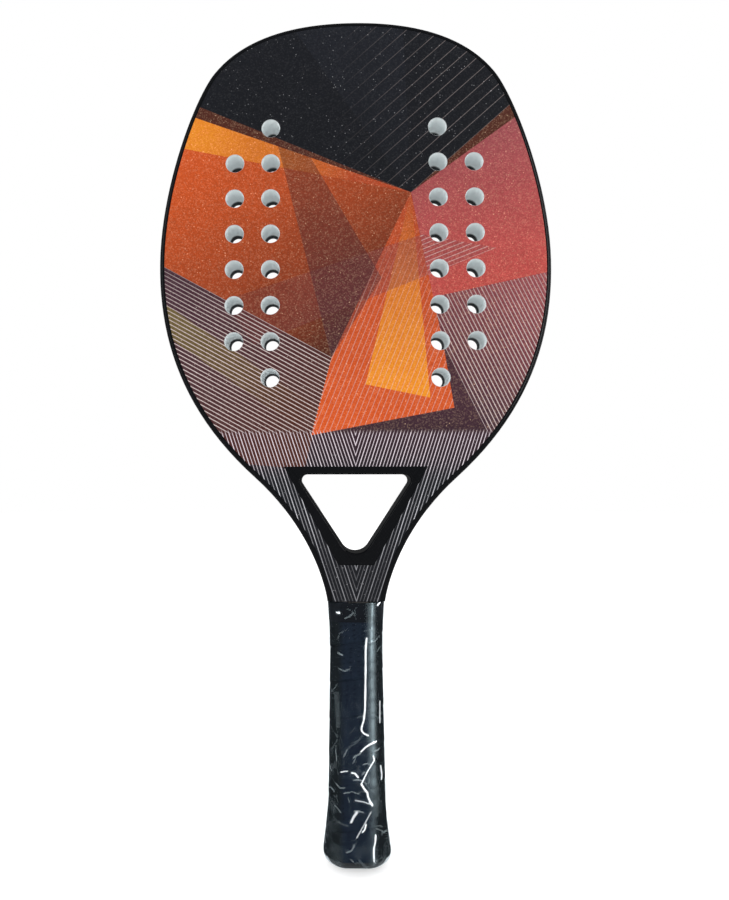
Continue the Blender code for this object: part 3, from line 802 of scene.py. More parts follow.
def face_print_finish(colours):
    """Generic angular print: large facets with gradients, pinstripes and glitter, under a clear coat."""
    finish = Finish("face print")
    x, y, z = (finish.axis(name) for name in "XYZ")
    x = x * (1 - 2 * (y > 0.0))
    charcoal, umber, rust, plum, rose = (colours.charcoal, colours.umber, colours.rust, colours.plum,
                                         colours.rose)
    ground = finish.blend(finish.ramp(z, 250.0, 420.0), plum, umber)
    ground = finish.blend(finish.ramp(z, 268.0, 214.0), ground, shade(charcoal, 0.9))
    art = FlatPrint(finish, x, z, ground)

    # Corners that facets and lines share
    peak, waist, hip, elbow, knee, heel = (34, 392), (-14, 292), (-26, 246), (46.5, 328), (52, 300), (78, 246)
    left, right = (-130, 356), (130, 346)
    veil_foot, veil_side = (-60, 300), (120, 372)

    art.facet([(-130, 452), left, waist, peak], colours.orange, umber, (-112, 440), (-6, 300))
    coral = art.facet([peak, elbow, right, (130, 462)], rose, colours.coral, (70, 430), (96, 332))
    left_low = art.facet([left, (-96, 232), (-30, 226), waist], plum, umber, (-110, 330), (-20, 240))
    right_low = art.facet([elbow, knee, heel, (112, 250), right], rose, plum, (116, 344), (68, 262))
    blade = art.facet([peak, waist, hip, (58, 262), knee], rust, colours.orange, peak, (0, 252))
    art.facet([peak, (6, 276), (44, 268)], rust, colours.amber, peak, (24, 270))
    art.facet([(-130, 336), (-130, 318), (-36, 252), (-22, 262)], colours.olive, umber, (-118, 330), (-40, 262))
    art.facet([(-130, 452), (-130, 426), peak], colours.amber, rust, (-118, 440), (0, 400))
    veil = art.facet([(-130, 398), veil_foot, veil_side, (130, 396), (40, 366)], umber, rose,
                     (-120, 390), (110, 380), 0.42)
    art.facet([(-58, 470), waist, (16, 340)], umber, plum, (-20, 440), (0, 300), 0.55)
    crown = art.facet([(-130, 462), peak, (130, 478)], charcoal, shade(charcoal, 0.8),
                      (0, 500), (20, 400), closed=False)
    art.facet([(-40, 500), peak, (30, 500)], shade(charcoal, 1.6), charcoal, (10, 500), (30, 400), 0.8)

    upper = finish.ramp(z, 246.0, 250.0)
    lines = art.pinstripes(peak, (130, 478), 7.0, 0.32) * crown * finish.ramp(x, -20.0, 70.0) * 0.26
    low_lines = art.pinstripes(left, waist, 2.2, 0.48) * left_low
    low_lines += art.pinstripes(knee, heel, 2.2, 0.52) * right_low * 0.85
    low_lines += art.pinstripes(hip, peak, 3.0, 0.40) * blade * 0.4
    lines += low_lines * upper * finish.ramp(z, 385.0, 290.0)
    lines += art.pinstripes(veil_foot, veil_side, 2.6, 0.42) * veil * coral * 0.5
    outwards = abs(x)
    legs = finish.ramp(z, 166.0, 200.0)
    bridge = finish.ramp(z, 218.0, 234.0)
    throat = FlatPrint(finish, outwards, z)
    chevron = throat.pinstripes((0, 150), (30, 240), 1.9, 0.36) * (legs * 0.40 + bridge * 0.40 + 0.18)
    chevron += throat.pinstripes((0, 150), (30, 240), 5.7, 0.46) * (legs * 0.25 + 0.30)
    lines += chevron * (1 - upper)
    silver = finish.blend(bridge, (0.60, 0.60, 0.64), (0.84, 0.74, 0.80))
    silver = finish.blend(upper, silver, colours.pinstripe)
    base = finish.blend(finish.clamp(lines), art.colour, silver)

    cloud = finish.blend(finish.noise(38.0, 4.0, 0.6), grey(0.25), grey(0.80))
    base = finish.blend(0.30, base, cloud, "OVERLAY")
    grain = finish.blend(finish.noise(1500.0, 1.0), grey(0.02), grey(0.98))
    base = finish.blend(0.45, base, grain, "OVERLAY")
    silvery = finish.clamp(crown + (1 - upper) + left_low * 0.6)
    flakes = glitter(finish, 0.115 - silvery * 0.098, 1.2 - silvery * 0.5)
    base = finish.blend(flakes, base, finish.blend(silvery, (0.78, 0.54, 0.34), (0.60, 0.60, 0.62)), "ADD")
    drilled = (abs(z - 353.0) < 91.0) * (outwards < 82.0)
    cut = finish.blend(drilled, colours.lacquer, shade(colours.foam, 0.8))
    base = finish.blend(abs(y) > 10.96, cut, base)
    return finish.complete(
        base_color=base, roughness=0.34 - flakes * 0.12, metallic=flakes * 0.35, specular_ior_level=0.06,
        coat_weight=0.06, coat_roughness=0.12, normal=finish.bump(finish.noise(900.0), 0.10, 0.00006))


def lacquer_finish(lacquer):
    """Black satin lacquer over the laminate: orange peel, a faint twill, and a dull wall in the window."""
    finish = Finish("black lacquer")
    throat = sizes("throat")
    x, y, z = (finish.axis(name) for name in "XYZ")
    warp = finish.math("PINGPONG", x + z * 0.9 + y, 1.1)
    weft = finish.math("PINGPONG", x - z * 0.9 - y, 1.1)
    twill = finish.ramp(warp - weft, -0.5, 0.5)
    depth = abs(y)
    beside_window = abs(x) - (z - throat.apex_height * MM) * window_slope()
    dull = (beside_window < 2.0) * (depth < 10.7) * (z < throat.border_top * MM)
    side = 1 - finish.ramp(depth, 8.4, 10.2)
    cloud = finish.noise(60.0, 3.0, 0.6)
    base = finish.blend(twill * 0.30, lacquer, shade(lacquer, 1.7))
    base = finish.blend(finish.ramp(cloud, 0.45, 0.75) * 0.5, base, shade(lacquer, 1.5))
    specks = finish.ramp(finish.noise(2200.0, 1.0), 0.70, 0.76)
    base = finish.blend(specks * 0.14, base, (0.18, 0.18, 0.19))
    peel = finish.noise(700.0, 3.0) + twill * 0.12
    return finish.complete(
        base_color=base, roughness=0.30 + cloud * 0.14, specular_ior_level=0.0,
        coat_weight=(side * 0.34 + 0.08) * (1 - dull * 0.9), coat_roughness=0.16,
        normal=finish.bump(peel, 0.16, 0.00008))


def foam_finish(foam):
    """Closed-cell foam cut by a drill: open cells, turning marks, and painted shade that darkens the bore
    towards the rear face.
    """
    finish = Finish("drilled foam")
    y = finish.axis("Y")
    cells = finish.cells(1400.0)
    coarse = finish.cells(520.0, feature="F2")
    cloud = finish.noise(180.0, 3.0, 0.6)
    base = finish.blend(finish.ramp(cells, 0.10, 0.45), shade(foam, 0.92), foam)
    base = finish.blend(finish.ramp(cloud, 0.35, 0.75) * 0.35, base, shade(foam, 1.1))
    # Painted shade: the bore's wall turns dark towards the rear face
    base = finish.blend(finish.ramp(y + cloud * 1.2, 6.2, 8.0), base, (0.016, 0.020, 0.023))
    marks = finish.math("SINE", y * 9.0 + cloud * 6.0)
    height = cells * 0.7 + coarse * 0.3 + marks * 0.10
    return finish.complete(base_color=base, roughness=0.86, specular_ior_level=0.25,
                           normal=finish.bump(height, 0.55, 0.00018))


def tape_finish(tape):
    """Cushioned tape: fine pebble grain, dimples punched in rows along the strip, greyer at the sides."""
    finish = Finish("cushioned tape")
    strip = finish.node("ShaderNodeTexCoord", {}, output="UV")
    u, v = (finish.node("ShaderNodeSeparateXYZ", {}, strip, output=name) for name in "XY")
    grain = finish.cells(1700.0)
    cloud = finish.noise(120.0, 3.0, 0.6)
    across = finish.math("PINGPONG", u * 16.0, 0.5)
    lengthwise = finish.math("PINGPONG", v * 250.0, 0.5)
    dimple = finish.math("POWER", across * across + lengthwise * lengthwise, 0.5)
    dimple = 1 - finish.ramp(dimple, 0.10, 0.24)
    base = finish.blend(finish.ramp(grain, 0.2, 0.6), shade(tape, 0.7), shade(tape, 1.3))
    base = finish.blend(finish.ramp(cloud, 0.4, 0.7) * 0.4, base, shade(tape, 1.6))
    greyer = finish.ramp(abs(finish.axis("X")) + cloud * 3.0, 8.0, 13.0)
    base = finish.blend(greyer * 0.75, base, (0.0172, 0.0187, 0.0165))
    base = finish.blend(dimple * 0.6, base, shade(tape, 0.4))
    return finish.complete(base_color=base, roughness=0.70 + cloud * 0.15, specular_ior_level=0.015,
                           normal=finish.bump(grain * 0.3 - dimple * 0.8, 0.5, 0.00015))


def band_finish():
    """Thin stretched vinyl band."""
    finish = Finish("finishing band")
    pull = finish.streaks((60.0, 60.0, 900.0), 2.0)
    base = finish.blend(pull, (0.008, 0.009, 0.012), (0.015, 0.017, 0.022))
    return finish.complete(base_color=base, roughness=0.38 + pull * 0.12, specular_ior_level=0.05,
                           normal=finish.bump(pull, 0.25, 0.0001))


def film_finish():
    """Clear shrink film: see-through and glossy, with painted glints and a painted sheen along its creases, and
    a painted light band lengthwise.
    """
    finish = Finish("clear film")
    crease, gloss, loose = (finish.node("ShaderNodeAttribute", {"attribute_name": name}, output="Fac")
                            for name in ("crease", "gloss", "loose"))
    wobble = finish.noise(240.0, 3.0, 0.55)
    folds = finish.streaks((130.0, 130.0, 420.0), 3.0)
    low_down = finish.ramp(finish.axis("Z"), 105.0, 40.0)
    haze = finish.ramp(finish.noise(105.0, 3.0, 0.60), 0.46, 0.72) * (low_down * 0.95 + 0.05)
    vein = 1 - finish.ramp(abs(finish.noise(95.0, 2.5) - 0.5), 0.0, 0.030)
    vein = vein * finish.ramp(finish.noise(60.0), 0.42, 0.62) * (low_down * 0.9 + 0.1)
    # Painted glint: a thin line along each crease that reflects most of the white surroundings
    painted_glint = finish.ramp(crease + (wobble - 0.5) * 0.45, 0.40, 0.78) * gloss
    # Painted light band: paler reflection where the film stands off, streaked along its folds
    pale = loose * (0.55 + 0.45 * finish.ramp(folds, 0.30, 0.60)) * (0.70 + wobble * 0.5)
    dull = haze * 0.014 + vein * 0.021
    # Share of reflection: painted glints, a painted sheen along the creases, the painted light band, and the
    # film's own haze and veins
    share = finish.clamp(painted_glint * 0.80 + crease * gloss * 0.05 + crease * 0.008 + pale * 0.105 + dull)
    # The painted glints reflect whiter than the rest of the film
    tint = finish.blend(finish.clamp(painted_glint * 3.0), (0.72, 0.90, 0.96), (0.94, 0.97, 1.0))
    ripple = finish.noise(200.0, 1.0, 0.4) * 0.8 + folds * 0.1
    finish.complete(base_color=tint, metallic=1.0, roughness=0.18 + haze * 0.14 + pale * 0.20,
                    normal=finish.bump(ripple, 0.22, 0.0003))
    return finish.lay_over(share, finish.node("ShaderNodeBsdfTransparent", {}, (0.87, 0.89, 0.90)))


def cap_finish():
    """Moulded black plastic with a spark-eroded grain."""
    finish = Finish("moulded cap")
    grain = finish.noise(2600.0, 3.0, 0.6)
    cloud = finish.noise(90.0, 3.0, 0.6)
    base = finish.blend(cloud, (0.012, 0.012, 0.014), (0.024, 0.024, 0.027))
    return finish.complete(base_color=base, roughness=0.46 + cloud * 0.14, specular_ior_level=0.4,
                           normal=finish.bump(grain, 0.45, 0.00012))


def hidden_foam_finish(name, dark, pale, scale):
    """Moulded foam with a skin of small pores."""
    finish = Finish(name)
    pores = finish.cells(scale)
    cloud = finish.noise(140.0, 4.0, 0.6)
    base = finish.blend(finish.ramp(pores, 0.10, 0.45), dark, pale)
    base = finish.blend(cloud * 0.35, base, shade(pale, 1.2))
    return finish.complete(base_color=base, roughness=0.80 + cloud * 0.12, specular_ior_level=0.25,
                           normal=finish.bump(pores, 0.5, 0.00025))


def staple_finish():
    """Drawn steel wire: lengthwise draw marks and a little dulling."""
    finish = Finish("staple wire")
    drawn = finish.streaks((200.0, 4000.0, 4000.0), 3.0)
    dull = finish.noise(700.0, 3.0, 0.6)
    base = finish.blend(drawn, (0.42, 0.42, 0.43), (0.68, 0.68, 0.69))
    base = finish.blend(finish.ramp(dull, 0.5, 0.8) * 0.5, base, (0.30, 0.28, 0.26))
    return finish.complete(base_color=base, metallic=1.0, roughness=0.26 + dull * 0.25,
                           normal=finish.bump(drawn, 0.25, 0.00004))


# Operators, one for each piece or group of like pieces

class RACKET_OT_build_frame(bpy.types.Operator):
    """Build the hairpin frame: head hoop, throat legs and handle shafts"""
    bl_idname = "racket.build_frame"
    bl_label = "Hairpin Frame"

    def execute(self, context):
        head = sizes("head")
        half = head.frame_depth / 2
        outline = both_sides(outer_rail(0.0))
        tube = plate("hairpin_frame", [outline], half, edge=head.edge_radius, edge_steps=5)
        rail = inner_rail(0.0)
        rail[-1] = rail[-1] - Vector((0.0, REACH))
        inside = plate("inside of the hoop", [both_sides(rail)], half + REACH)
        low, high = SHAFT_FOOT, head.handle_length + SHAFT_IN_LEG
        shafts = []
        for side in (-1, 1):
            deselect()
            bpy.ops.mesh.primitive_cube_add(
                size=1.0, location=(side * SHAFT_MIDDLE, 0.0, (low + high) / 2),
                scale=(SHAFT_WIDTH, SHAFT_DEPTH, high - low))
            shaft = settle(context.object, "shaft")
            apply_modifier(shaft, "BEVEL", "shaft corners", width=SHAFT_CORNER, segments=3)
            shafts.append(shaft)
        window = window_cutter()
        pockets = pocket_cutters()
        carve(tube, *shafts, operation="UNION")
        carve(tube, inside, window, *pockets)
        discard(inside, window, *pockets, *shafts)
        close_doubles(tube, 4 * WELD)
        fill_openings(tube)
        finish_piece(tube, lacquer_finish(context.scene.racket_colours.lacquer), "frame_tube",
                     flat_faces=True)
        return {"FINISHED"}


class RACKET_OT_build_throat(bpy.types.Operator):
    """Build the bridge over the throat window and the gusset under it"""
    bl_idname = "racket.build_throat"
    bl_label = "Bridge and Gusset"

    def execute(self, context):
        throat, half = sizes("throat"), sizes("head").frame_depth / 2
        window = window_cutter()
        pockets = pocket_cutters()
        rail = inner_rail(throat.seam)
        slope = math.atan(window_slope())
        wing = throat.corner_radius / math.tan((math.pi / 2 - slope) / 2) * math.cos(slope)
        side = rail_between(rail, bridge_arc, lambda x: throat.top_height - wing)
        bridge = plate("bridge_bar", [both_sides(bridge_arc_points(side[0].x) + side)], half)
        tangent = throat.apex_radius / math.tan(slope) * math.cos(slope)
        side = rail_between(rail, lambda x: throat.apex_height + tangent,
                            lambda x: throat.apex_height + throat.apex_radius / 6)
        gusset = plate("gusset_block", [both_sides(side)], half)
        for piece, node in ((bridge, "throat_bridge"), (gusset, "throat_gusset")):
            carve(piece, window, *pockets)
            close_doubles(piece)
            finish_piece(piece, bpy.data.materials["black lacquer"], node, flat_faces=True)
        discard(window, *pockets)
        return {"FINISHED"}


class RACKET_OT_build_foam(bpy.types.Operator):
    """Build the drilled foam plate inside the hoop"""
    bl_idname = "racket.build_foam"
    bl_label = "Foam Core"

    def execute(self, context):
        head = sizes("head")
        rail = inner_rail(FOAM_ROOM)
        index, corner = crossing(rail, lambda x: bridge_arc(x, FOAM_ROOM))
        right = rail[:index + 1] + [corner] + bridge_arc_points(corner.x, FOAM_ROOM)[::-1]
        under_sheet = 0.00005
        half = head.frame_depth / 2 - head.sheet_thickness - under_sheet
        foam = plate("foam_plate", [both_sides(right)], half, edge=0.0004, edge_steps=1)
        drills = drill_cutter(through_foam=True)
        carve(foam, drills)
        discard(drills)
        close_doubles(foam)
        finish_piece(foam, foam_finish(context.scene.racket_colours.foam), "foam_core", 40,
                     flat_faces=True)
        return {"FINISHED"}


class RACKET_OT_build_laminates(bpy.types.Operator):
    """Build the two printed laminates, each lying in its rebate"""
    bl_idname = "racket.build_laminates"
    bl_label = "Printed Laminates"

    def execute(self, context):
        head = sizes("head")
        material = face_print_finish(context.scene.racket_colours)
        drills = drill_cutter()
        right = outer_rail(head.rim_width, 0.5)
        above_grip = 0.0003
        right[-1] = right[-1] + Vector((0.0, above_grip))
        loops = [both_sides(right), border_outline(LAMINATE_ROOM)]
        half = head.sheet_thickness / 2
        middle = head.frame_depth / 2 - half
        for name, side, node in (("front_laminate", -1, "front_face_sheet"),
                                 ("rear_laminate", 1, "rear_face_sheet")):
            sheet = plate(name, loops, half, side * middle)
            carve(sheet, drills)
            close_doubles(sheet)
            finish_piece(sheet, material, node, 40, flat_faces=True)
        discard(drills)
        return {"FINISHED"}


class RACKET_OT_build_tape(bpy.types.Operator):
    """Build the wound tape and the band over its upper end"""
    bl_idname = "racket.build_tape"
    bl_label = "Wound Tape"

    def execute(self, context):
        handle = sizes("handle")
        bottom, top = 0.0075, sizes("head").handle_length - TAPE_ROOM
        # The strip is a hair narrower than its pitch, and its ends are cut level with the cap and the neck.
        width, level_cut, least_width = handle.tape_pitch - 0.0001, 0.002, 0.0006
        start, end = bottom + level_cut - width / 2, top - level_cut + width / 2
        turns = (end - start) / handle.tape_pitch
        thick = handle.tape_thickness
        # Across the strip: share of the width from its lower edge, and share of the thickness out.
        section = [(0.0, 0.0), (0.0, 0.82), (0.012, 0.98), (0.05, 1.03), (0.12, 1.03), (0.25, 1.0),
                   (0.40, 0.985), (0.55, 0.98), (0.70, 0.97), (0.82, 0.96), (0.92, 0.94), (0.975, 0.89),
                   (1.0, 0.78), (1.0, 0.0), (0.5, 0.0)]
        shares, outs = columns(section, closed=True)
        outs = outs * thick

        def place(u, v):
            centre = start + v * turns * handle.tape_pitch
            step = np.round(u * len(section)).astype(int)
            low = np.clip(centre - width / 2, bottom, top - least_width)
            high = np.clip(centre + width / 2, bottom + least_width, top)
            height = low + (high - low) * shares[step]
            return handle_point((v * turns) % 1.0, height, flare(height) + TAPE_ROOM + outs[step])

        tape = wrapped_grid("wound_tape", len(section), round(turns * 96), place)
        fill_openings(tape)
        finish_piece(tape, tape_finish(context.scene.racket_colours.tape), "base_grip", 60)

        # Along the band: height from its top, and distance out.
        profile = [(-0.011, 0.0), (-0.011, 0.00018), (-0.0108, 0.00025), (-0.0055, 0.00025),
                   (-0.0002, 0.00025), (0.0, 0.00018), (0.0, 0.0), (-0.0055, 0.0)]
        heights, rises = columns(profile, closed=True)

        def place_band(u, v):
            step = np.round(v * len(profile)).astype(int)
            return handle_point(u % 1.0, top + heights[step], thick + BAND_ROOM + rises[step])

        band = wrapped_grid("finishing_band", 160, len(profile), place_band)
        finish_piece(band, band_finish(), "finishing_tape", 50)
        return {"FINISHED"}


# Creases seen on the front of the film: points as (x, height) in millimetres, width, and gloss from 0 to 1,
# which sets how bright the crease's painted glint is and how high its ridge stands.
FRONT_CREASES = (
    (((5.6, 129.8), (5.0, 123.0), (4.9, 112.0), (4.6, 97.0), (4.4, 90.0), (3.7, 84.5), (2.4, 80.4), (2.4, 78.6),
      (3.7, 77.1), (6.1, 76.0)), 0.62, 1.0),
    (((2.0, 67.1), (4.3, 69.4), (7.2, 71.3), (10.4, 72.2)), 0.60, 0.9),
    (((8.8, 64.7), (9.4, 62.4), (5.5, 56.2), (2.1, 49.5)), 0.48, 0.85),
    (((2.1, 49.5), (3.8, 46.8), (5.4, 45.0), (5.8, 42.6), (7.0, 39.9), (8.2, 37.9)), 0.66, 1.0),
    (((-9.2, 55.7), (-7.5, 56.3), (-5.7, 56.5)), 0.44, 0.6),
    (((-3.3, 55.6), (-1.7, 55.4), (0.3, 53.2)), 0.60, 1.0),
    (((-1.3, 40.6), (3.4, 39.9), (7.4, 38.5)), 0.42, 0.40),
    (((-0.6, 34.1), (-2.6, 31.4), (-3.7, 29.1)), 0.85, 0.55),
    (((7.5, 34.5), (3.3, 27.5), (-0.7, 21.0)), 0.42, 0.34),
    (((4.6, 27.9), (3.7, 25.2), (2.5, 24.0)), 0.52, 0.9),
    (((9.7, 22.0), (9.6, 19.0), (8.9, 16.7), (8.5, 12.9), (9.2, 7.5)), 0.58, 1.0),
    (((13.0, 93.5), (12.9, 81.6)), 0.36, 0.6),
    (((13.2, 58.0), (13.5, 55.5), (13.8, 53.0), (13.6, 50.5)), 0.50, 0.7),
    (((-11.2, 143.7), (-9.7, 143.6)), 0.66, 1.0),
    (((12.1, 147.6), (13.3, 148.9)), 0.60, 0.9),
    (((-6.7, 140.8), (-4.4, 141.6), (-1.7, 144.0)), 0.60, 0.07),
    (((-12.2, 48.6), (-9.8, 46.9), (-7.4, 47.2)), 0.42, 0.10),
    (((-7.6, 44.3), (-3.0, 45.3), (0.4, 44.1)), 0.42, 0.12),
    (((-2.4, 63.8), (1.8, 66.2)), 0.60, 0.10),
    (((-10.6, 121.0), (-8.3, 120.2)), 0.55, 0.10),
    (((-9.9, 112.2), (-6.8, 111.4), (-4.9, 112.3)), 0.50, 0.08),
    (((10.4, 49.0), (11.0, 41.0), (10.6, 33.0)), 1.70, 0.014),
    (((-11.3, 98.0), (-10.8, 80.0)), 1.30, 0.012),
)
WAY_ROUND = 96.0     # millimetres round the handle, as the small creases count them
REAR_LIFT = 5.0      # the rear has the front's creases again, this much higher
AWAY = 1e6           # stands for a point on the other side


def line_distance(a, b, points):
    """Distance from the points (a, b) to a line of points, all in millimetres."""
    nearest = np.full(a.shape, 1e9)
    for (a0, b0), (a1, b1) in zip(points, points[1:]):
        square = (a1 - a0) ** 2 + (b1 - b0) ** 2
        t = np.clip(((a - a0) * (a1 - a0) + (b - b0) * (b1 - b0)) / square, 0, 1)
        nearest = np.minimum(nearest, (a - a0 - t * (a1 - a0)) ** 2 + (b - b0 - t * (b1 - b0)) ** 2)
    return np.sqrt(nearest)


def small_creases(seed):
    """Short random creases round the whole handle, most of them low down: points as (way round, height)."""
    random = np.random.RandomState(seed)
    creases = []
    for _ in range(150):
        high = 148.0 * random.rand() ** 1.8 + 2.0
        around = random.rand() * WAY_ROUND
        angle = random.rand() * math.pi
        reach = 2.0 + 7.0 * random.rand()
        bend = (random.rand() - 0.5) * 1.6
        middle = (around + reach / 2 * math.cos(angle), high + reach / 2 * math.sin(angle))
        last = (middle[0] + reach / 2 * math.cos(angle + bend), middle[1] + reach / 2 * math.sin(angle + bend))
        gloss = (0.02 + 0.13 * random.rand() ** 2) * (1.0 if high < 70 else 0.35)
        creases.append((((around, high), middle, last), 0.34 + 0.22 * random.rand(), gloss))
    return creases


class RACKET_OT_build_film(bpy.types.Operator):
    """Build the clear shrink film with its creases"""
    bl_idname = "racket.build_film"
    bl_label = "Shrink Film"

    def execute(self, context):
        handle = sizes("handle")
        over = TAPE_ROOM + handle.tape_thickness * 1.03 + handle.film_thickness + FILM_ROOM
        bottom, top = 0.001, sizes("head").handle_length - 0.0002
        # Height, and distance from the bare handle: round the cap's edge, over the tape's lower edge and up.
        foot, distances = columns([(0.0010, 0.0011), (0.0018, 0.0021), (0.0030, 0.0033), (0.0045, 0.0043),
                                   (0.0062, 0.0049), (0.0085, 0.0051)])

        def place(u, v):
            height = bottom + v * (top - bottom)
            over_band = 0.0001 * np.clip((height - top + 0.014) / 0.003, 0.0, 1.0)
            grow = np.where(height < foot[-1], np.interp(height, foot, distances),
                            flare(height) + over + over_band)
            return handle_point(even_shares(u, over, 0.55) % 1.0, height, grow)

        film = wrapped_grid("shrink_film", 168, 292, place)
        self.crease(film, handle.crease_seed)
        apply_modifier(film, "SOLIDIFY", "film thickness", thickness=handle.film_thickness, offset=-1.0)
        finish_piece(film, film_finish(), "grip_film", 180)
        return {"FINISHED"}

    def crease(self, film, seed):
        """Raise the creases and the places where the film stands off, and keep for the finish where the creases
        run, how strong their painted glints are, and where the painted light band lies.
        """
        mesh = film.data
        count = len(mesh.vertices)
        co, normal = np.empty(count * 3), np.empty(count * 3)
        mesh.vertices.foreach_get("co", co)
        mesh.vertices.foreach_get("normal", normal)
        co, normal = co.reshape(-1, 3), normal.reshape(-1, 3)
        x, y, z = (co * MM).T
        around = (np.arctan2(y, x) / (2 * math.pi) % 1.0) * WAY_ROUND
        line, gloss = np.zeros(count), np.zeros(count)
        creases = [(around, z, crease) for crease in small_creases(seed)]
        creases += [(np.where(y > 0, -x, AWAY), z + REAR_LIFT, crease) for crease in FRONT_CREASES]
        creases += [(np.where(y < 0, x, AWAY), z, crease) for crease in FRONT_CREASES]
        for a, b, (points, width, shine) in creases:
            profile = np.exp(-(line_distance(a, b, points) / width) ** 2)
            stronger = profile * (0.3 + shine) > line * (0.3 + gloss)
            line, gloss = np.where(stronger, profile, line), np.where(stronger, shine, gloss)
        # The film stands off where the finish paints its light band, and is slack low down.
        low_down = np.clip(1.25 - z / 90, 0.12, 1.0)
        side = np.abs(x) - 8.9
        loose = np.exp(-(side / np.where(side < 0, 2.3, 1.6)) ** 2) * (x * y < 0)
        loose = loose * np.clip((z - 10.0) / 65.0, 0.30, 1.0)
        slack = 0.07 * np.sin(z * 0.21 + 1.7 * np.sin(around * 0.13)) * low_down
        slack += 0.05 * np.sin(around * 0.55 + z * 0.12) * low_down
        lift = line * (0.10 + 0.28 * gloss) + slack + 0.10 * loose + 0.07
        lift = np.clip(lift, 0.0, 0.55) * np.clip(z / 6.0, 0.15, 1.0)
        co += normal * lift[:, None] / MM
        mesh.vertices.foreach_set("co", co.reshape(-1))
        for name, values in (("crease", line), ("gloss", gloss), ("loose", loose)):
            attribute = mesh.attributes.new(name, "FLOAT", "POINT")
            attribute.data.foreach_set("value", values)
        mesh.update()


class RACKET_OT_build_cap(bpy.types.Operator):
    """Build the butt cap with its rounded lower edge and its skirt"""
    bl_idname = "racket.build_cap"
    bl_label = "Butt Cap"

    def execute(self, context):
        radius = sizes("handle").cap_radius
        # Height, and distance out: a sunk sole, the rounded edge, the skirt and its inside.
        profile = [(0.0003, -radius - 0.0016), (0.0003, -radius - 0.0008), (0.0, -radius - 0.0005)]
        for step in range(13):
            angle = step / 12 * math.pi / 2
            profile.append((radius * (1 - math.cos(angle)), -radius * (1 - math.sin(angle))))
        profile += [(0.012, 0.0), (0.021, 0.0), (0.0296, 0.0), (0.0299, -0.0001), (0.03, -0.0004),
                    (0.03, -0.0015), (0.017, -0.0015), (0.004, -0.0015)]
        heights, outs = columns(profile)

        def place(u, v):
            step = np.round(v * (len(profile) - 1)).astype(int)
            return handle_point(u % 1.0, heights[step], flare(heights[step]) + outs[step])

        cap = wrapped_grid("butt_cup", 128, len(profile) - 1, place)
        fill_openings(cap)
        finish_piece(cap, cap_finish(), "butt_cap", 35)
        return {"FINISHED"}


class RACKET_OT_finish_inner_pieces(bpy.types.Operator):
    """Give the pieces inside the handle their finishes"""
    bl_idname = "racket.finish_inner_pieces"
    bl_label = "Inner Pieces"

    def execute(self, context):
        moulded = hidden_foam_finish("moulded handle foam", (0.060, 0.056, 0.052), (0.170, 0.160, 0.150), 900.0)
        plug = hidden_foam_finish("plug foam", (0.52, 0.49, 0.40), (0.75, 0.72, 0.62), 1500.0)
        wire = staple_finish()
        finishes = {
            "handle_pallet_front": moulded, "handle_pallet_rear": moulded,
            "shaft_plug_left": plug, "shaft_plug_right": plug,
            "cap_staple_front": wire, "cap_staple_rear": wire,
        }
        for node, material in finishes.items():
            frame["nodes"][node].data.materials.clear()
            frame["nodes"][node].data.materials.append(material)
        return {"FINISHED"}


# Name, place and size; watts where only gloss shows the lamp, and else a share of the lamp power.
LAMPS = (
    ("key lamp", (-1.75, -1.25, 1.30), (1.2, 1.2), 1.0, False),
    ("fill lamp", (1.85, -1.05, 0.80), (1.2, 1.2), 0.6, False),
    ("rear key lamp", (1.60, 1.45, 1.30), (1.2, 1.2), 0.8, False),
    ("rear fill lamp", (-1.70, 1.35, 0.90), (1.2, 1.2), 0.6, False),
    ("right gloss lamp", (0.95, -0.95, 0.50), (0.26, 1.3), 22.0, True),
    ("left gloss lamp", (-1.15, -0.75, 0.45), (0.16, 1.1), 5.0, True),
    ("side gloss lamp", (1.5, 0.15, 0.45), (0.8, 1.3), 18.0, True),
)


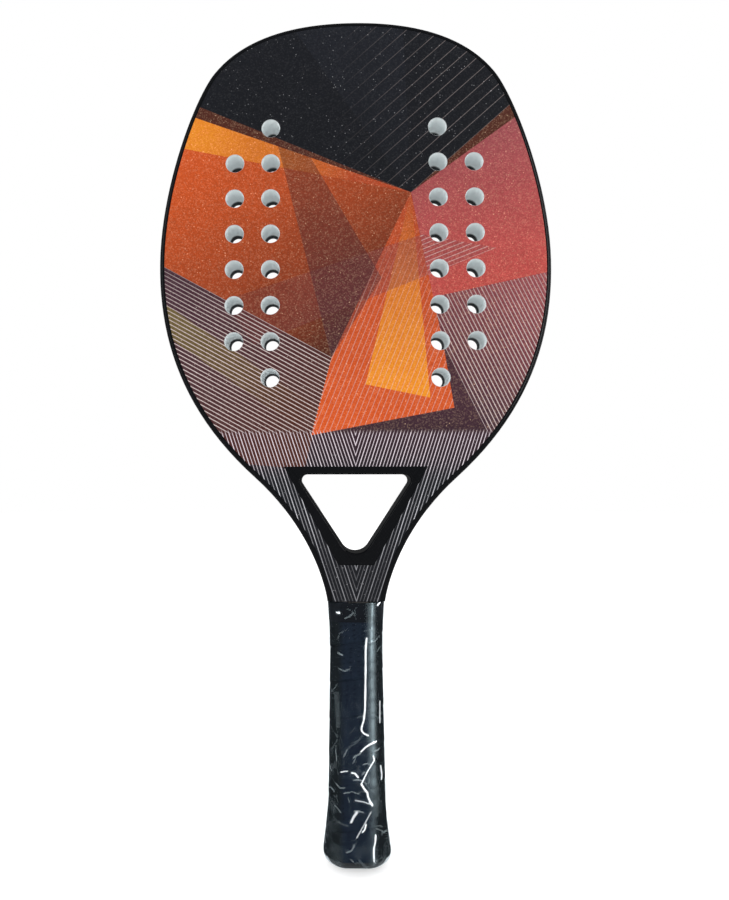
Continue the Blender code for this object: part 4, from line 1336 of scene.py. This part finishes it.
class RACKET_OT_build_studio(bpy.types.Operator):
    """Build the floor, the soft lamps, the even daylight and the camera"""
    bl_idname = "racket.build_studio"
    bl_label = "Studio"

    def execute(self, context):
        studio = context.scene.racket_studio
        self.build_floor()
        self.build_daylight(context.scene, studio.daylight)
        for name, place, size, watts, gloss_only in LAMPS:
            power = 1.0 if gloss_only else studio.lamp_power
            self.add_lamp(name, Vector(place), size, power * watts, gloss_only)
        self.add_camera(context, studio)
        context.scene.view_settings.view_transform = "Standard"
        return {"FINISHED"}

    def build_floor(self):
        deselect()
        bpy.ops.mesh.primitive_circle_add(vertices=128, radius=4.0, fill_type="NGON", location=(0, 0, -0.0006))
        floor = settle(bpy.context.object, "studio_floor")
        with editing(floor):
            for _ in range(3):
                bpy.ops.mesh.inset(thickness=1.0)
        finish = Finish("studio floor")
        dust = finish.noise(30.0, 4.0, 0.6)
        finish.complete(base_color=finish.blend(dust, grey(0.86), grey(0.90)), roughness=1.0,
                        specular_ior_level=0.0, emission_color=grey(1.0), emission_strength=0.50)
        plain = finish.node("ShaderNodeBsdfDiffuse", {}, grey(0.80))
        floor.data.materials.append(finish.lay_over(finish.white_for_sight(), plain))

    def build_daylight(self, scene, strength):
        scene.world = bpy.data.worlds.new("studio daylight")
        scene.world.use_nodes = True
        nodes = Nodes(scene.world.node_tree)
        background = nodes.tree.nodes["Background"]
        nodes.feed(background.inputs["Color"], grey(1.0))
        nodes.feed(background.inputs["Strength"], nodes.white_for_sight() * (1.0 - strength) + strength)

    def add_lamp(self, name, place, size, watts, gloss_only):
        deselect()
        racket_middle = Vector((0.0, 0.0, 0.26))
        turn = (racket_middle - place).to_track_quat("-Z", "Y").to_euler()
        bpy.ops.object.light_add(type="AREA", location=place, rotation=turn)
        lamp = bpy.context.object
        lamp.name = name
        lamp.data.shape = "RECTANGLE"
        lamp.data.size, lamp.data.size_y = size
        lamp.data.energy = watts
        lamp.visible_camera = False
        lamp.visible_diffuse = not gloss_only

    def add_camera(self, context, studio):
        deselect()
        turn = [math.radians(angle) for angle in studio.camera_turn]
        bpy.ops.object.camera_add(location=studio.camera_place, rotation=turn)
        camera = context.object
        camera.name = "camera"
        camera.data.lens = studio.lens
        camera.data.shift_x, camera.data.shift_y = studio.shift
        camera.data.clip_start = 0.01
        camera.data.dof.use_dof = False
        context.scene.camera = camera


OPERATORS = (
    RACKET_OT_build_frame,
    RACKET_OT_build_throat,
    RACKET_OT_build_foam,
    RACKET_OT_build_laminates,
    RACKET_OT_build_tape,
    RACKET_OT_build_cap,
    RACKET_OT_build_film,
    RACKET_OT_finish_inner_pieces,
    RACKET_OT_build_studio,
)


class RACKET_PT_sidebar(bpy.types.Panel):
    """Sizes, colours and build steps of the racket"""
    bl_idname = "RACKET_PT_sidebar"
    bl_label = "Beach Tennis Racket"
    bl_space_type = "VIEW_3D"
    bl_region_type = "UI"
    bl_category = "Racket"

    def draw(self, context):
        for operator in OPERATORS:
            self.layout.operator(operator.bl_idname)
        for group_name, group in GROUPS.items():
            box = self.layout.box()
            for prop in group.__annotations__:
                box.prop(getattr(context.scene, group_name), prop)


def register():
    for cls in (*GROUPS.values(), *OPERATORS, RACKET_PT_sidebar):
        bpy.utils.register_class(cls)
    for name, cls in GROUPS.items():
        setattr(bpy.types.Scene, name, bpy.props.PointerProperty(type=cls))


def unregister():
    for name in GROUPS:
        delattr(bpy.types.Scene, name)
    for cls in reversed((*GROUPS.values(), *OPERATORS, RACKET_PT_sidebar)):
        bpy.utils.unregister_class(cls)


def main():
    register()
    for operator in OPERATORS:
        group, name = operator.bl_idname.split(".")
        getattr(getattr(bpy.ops, group), name)()


if __name__ == "__main__":
    main()
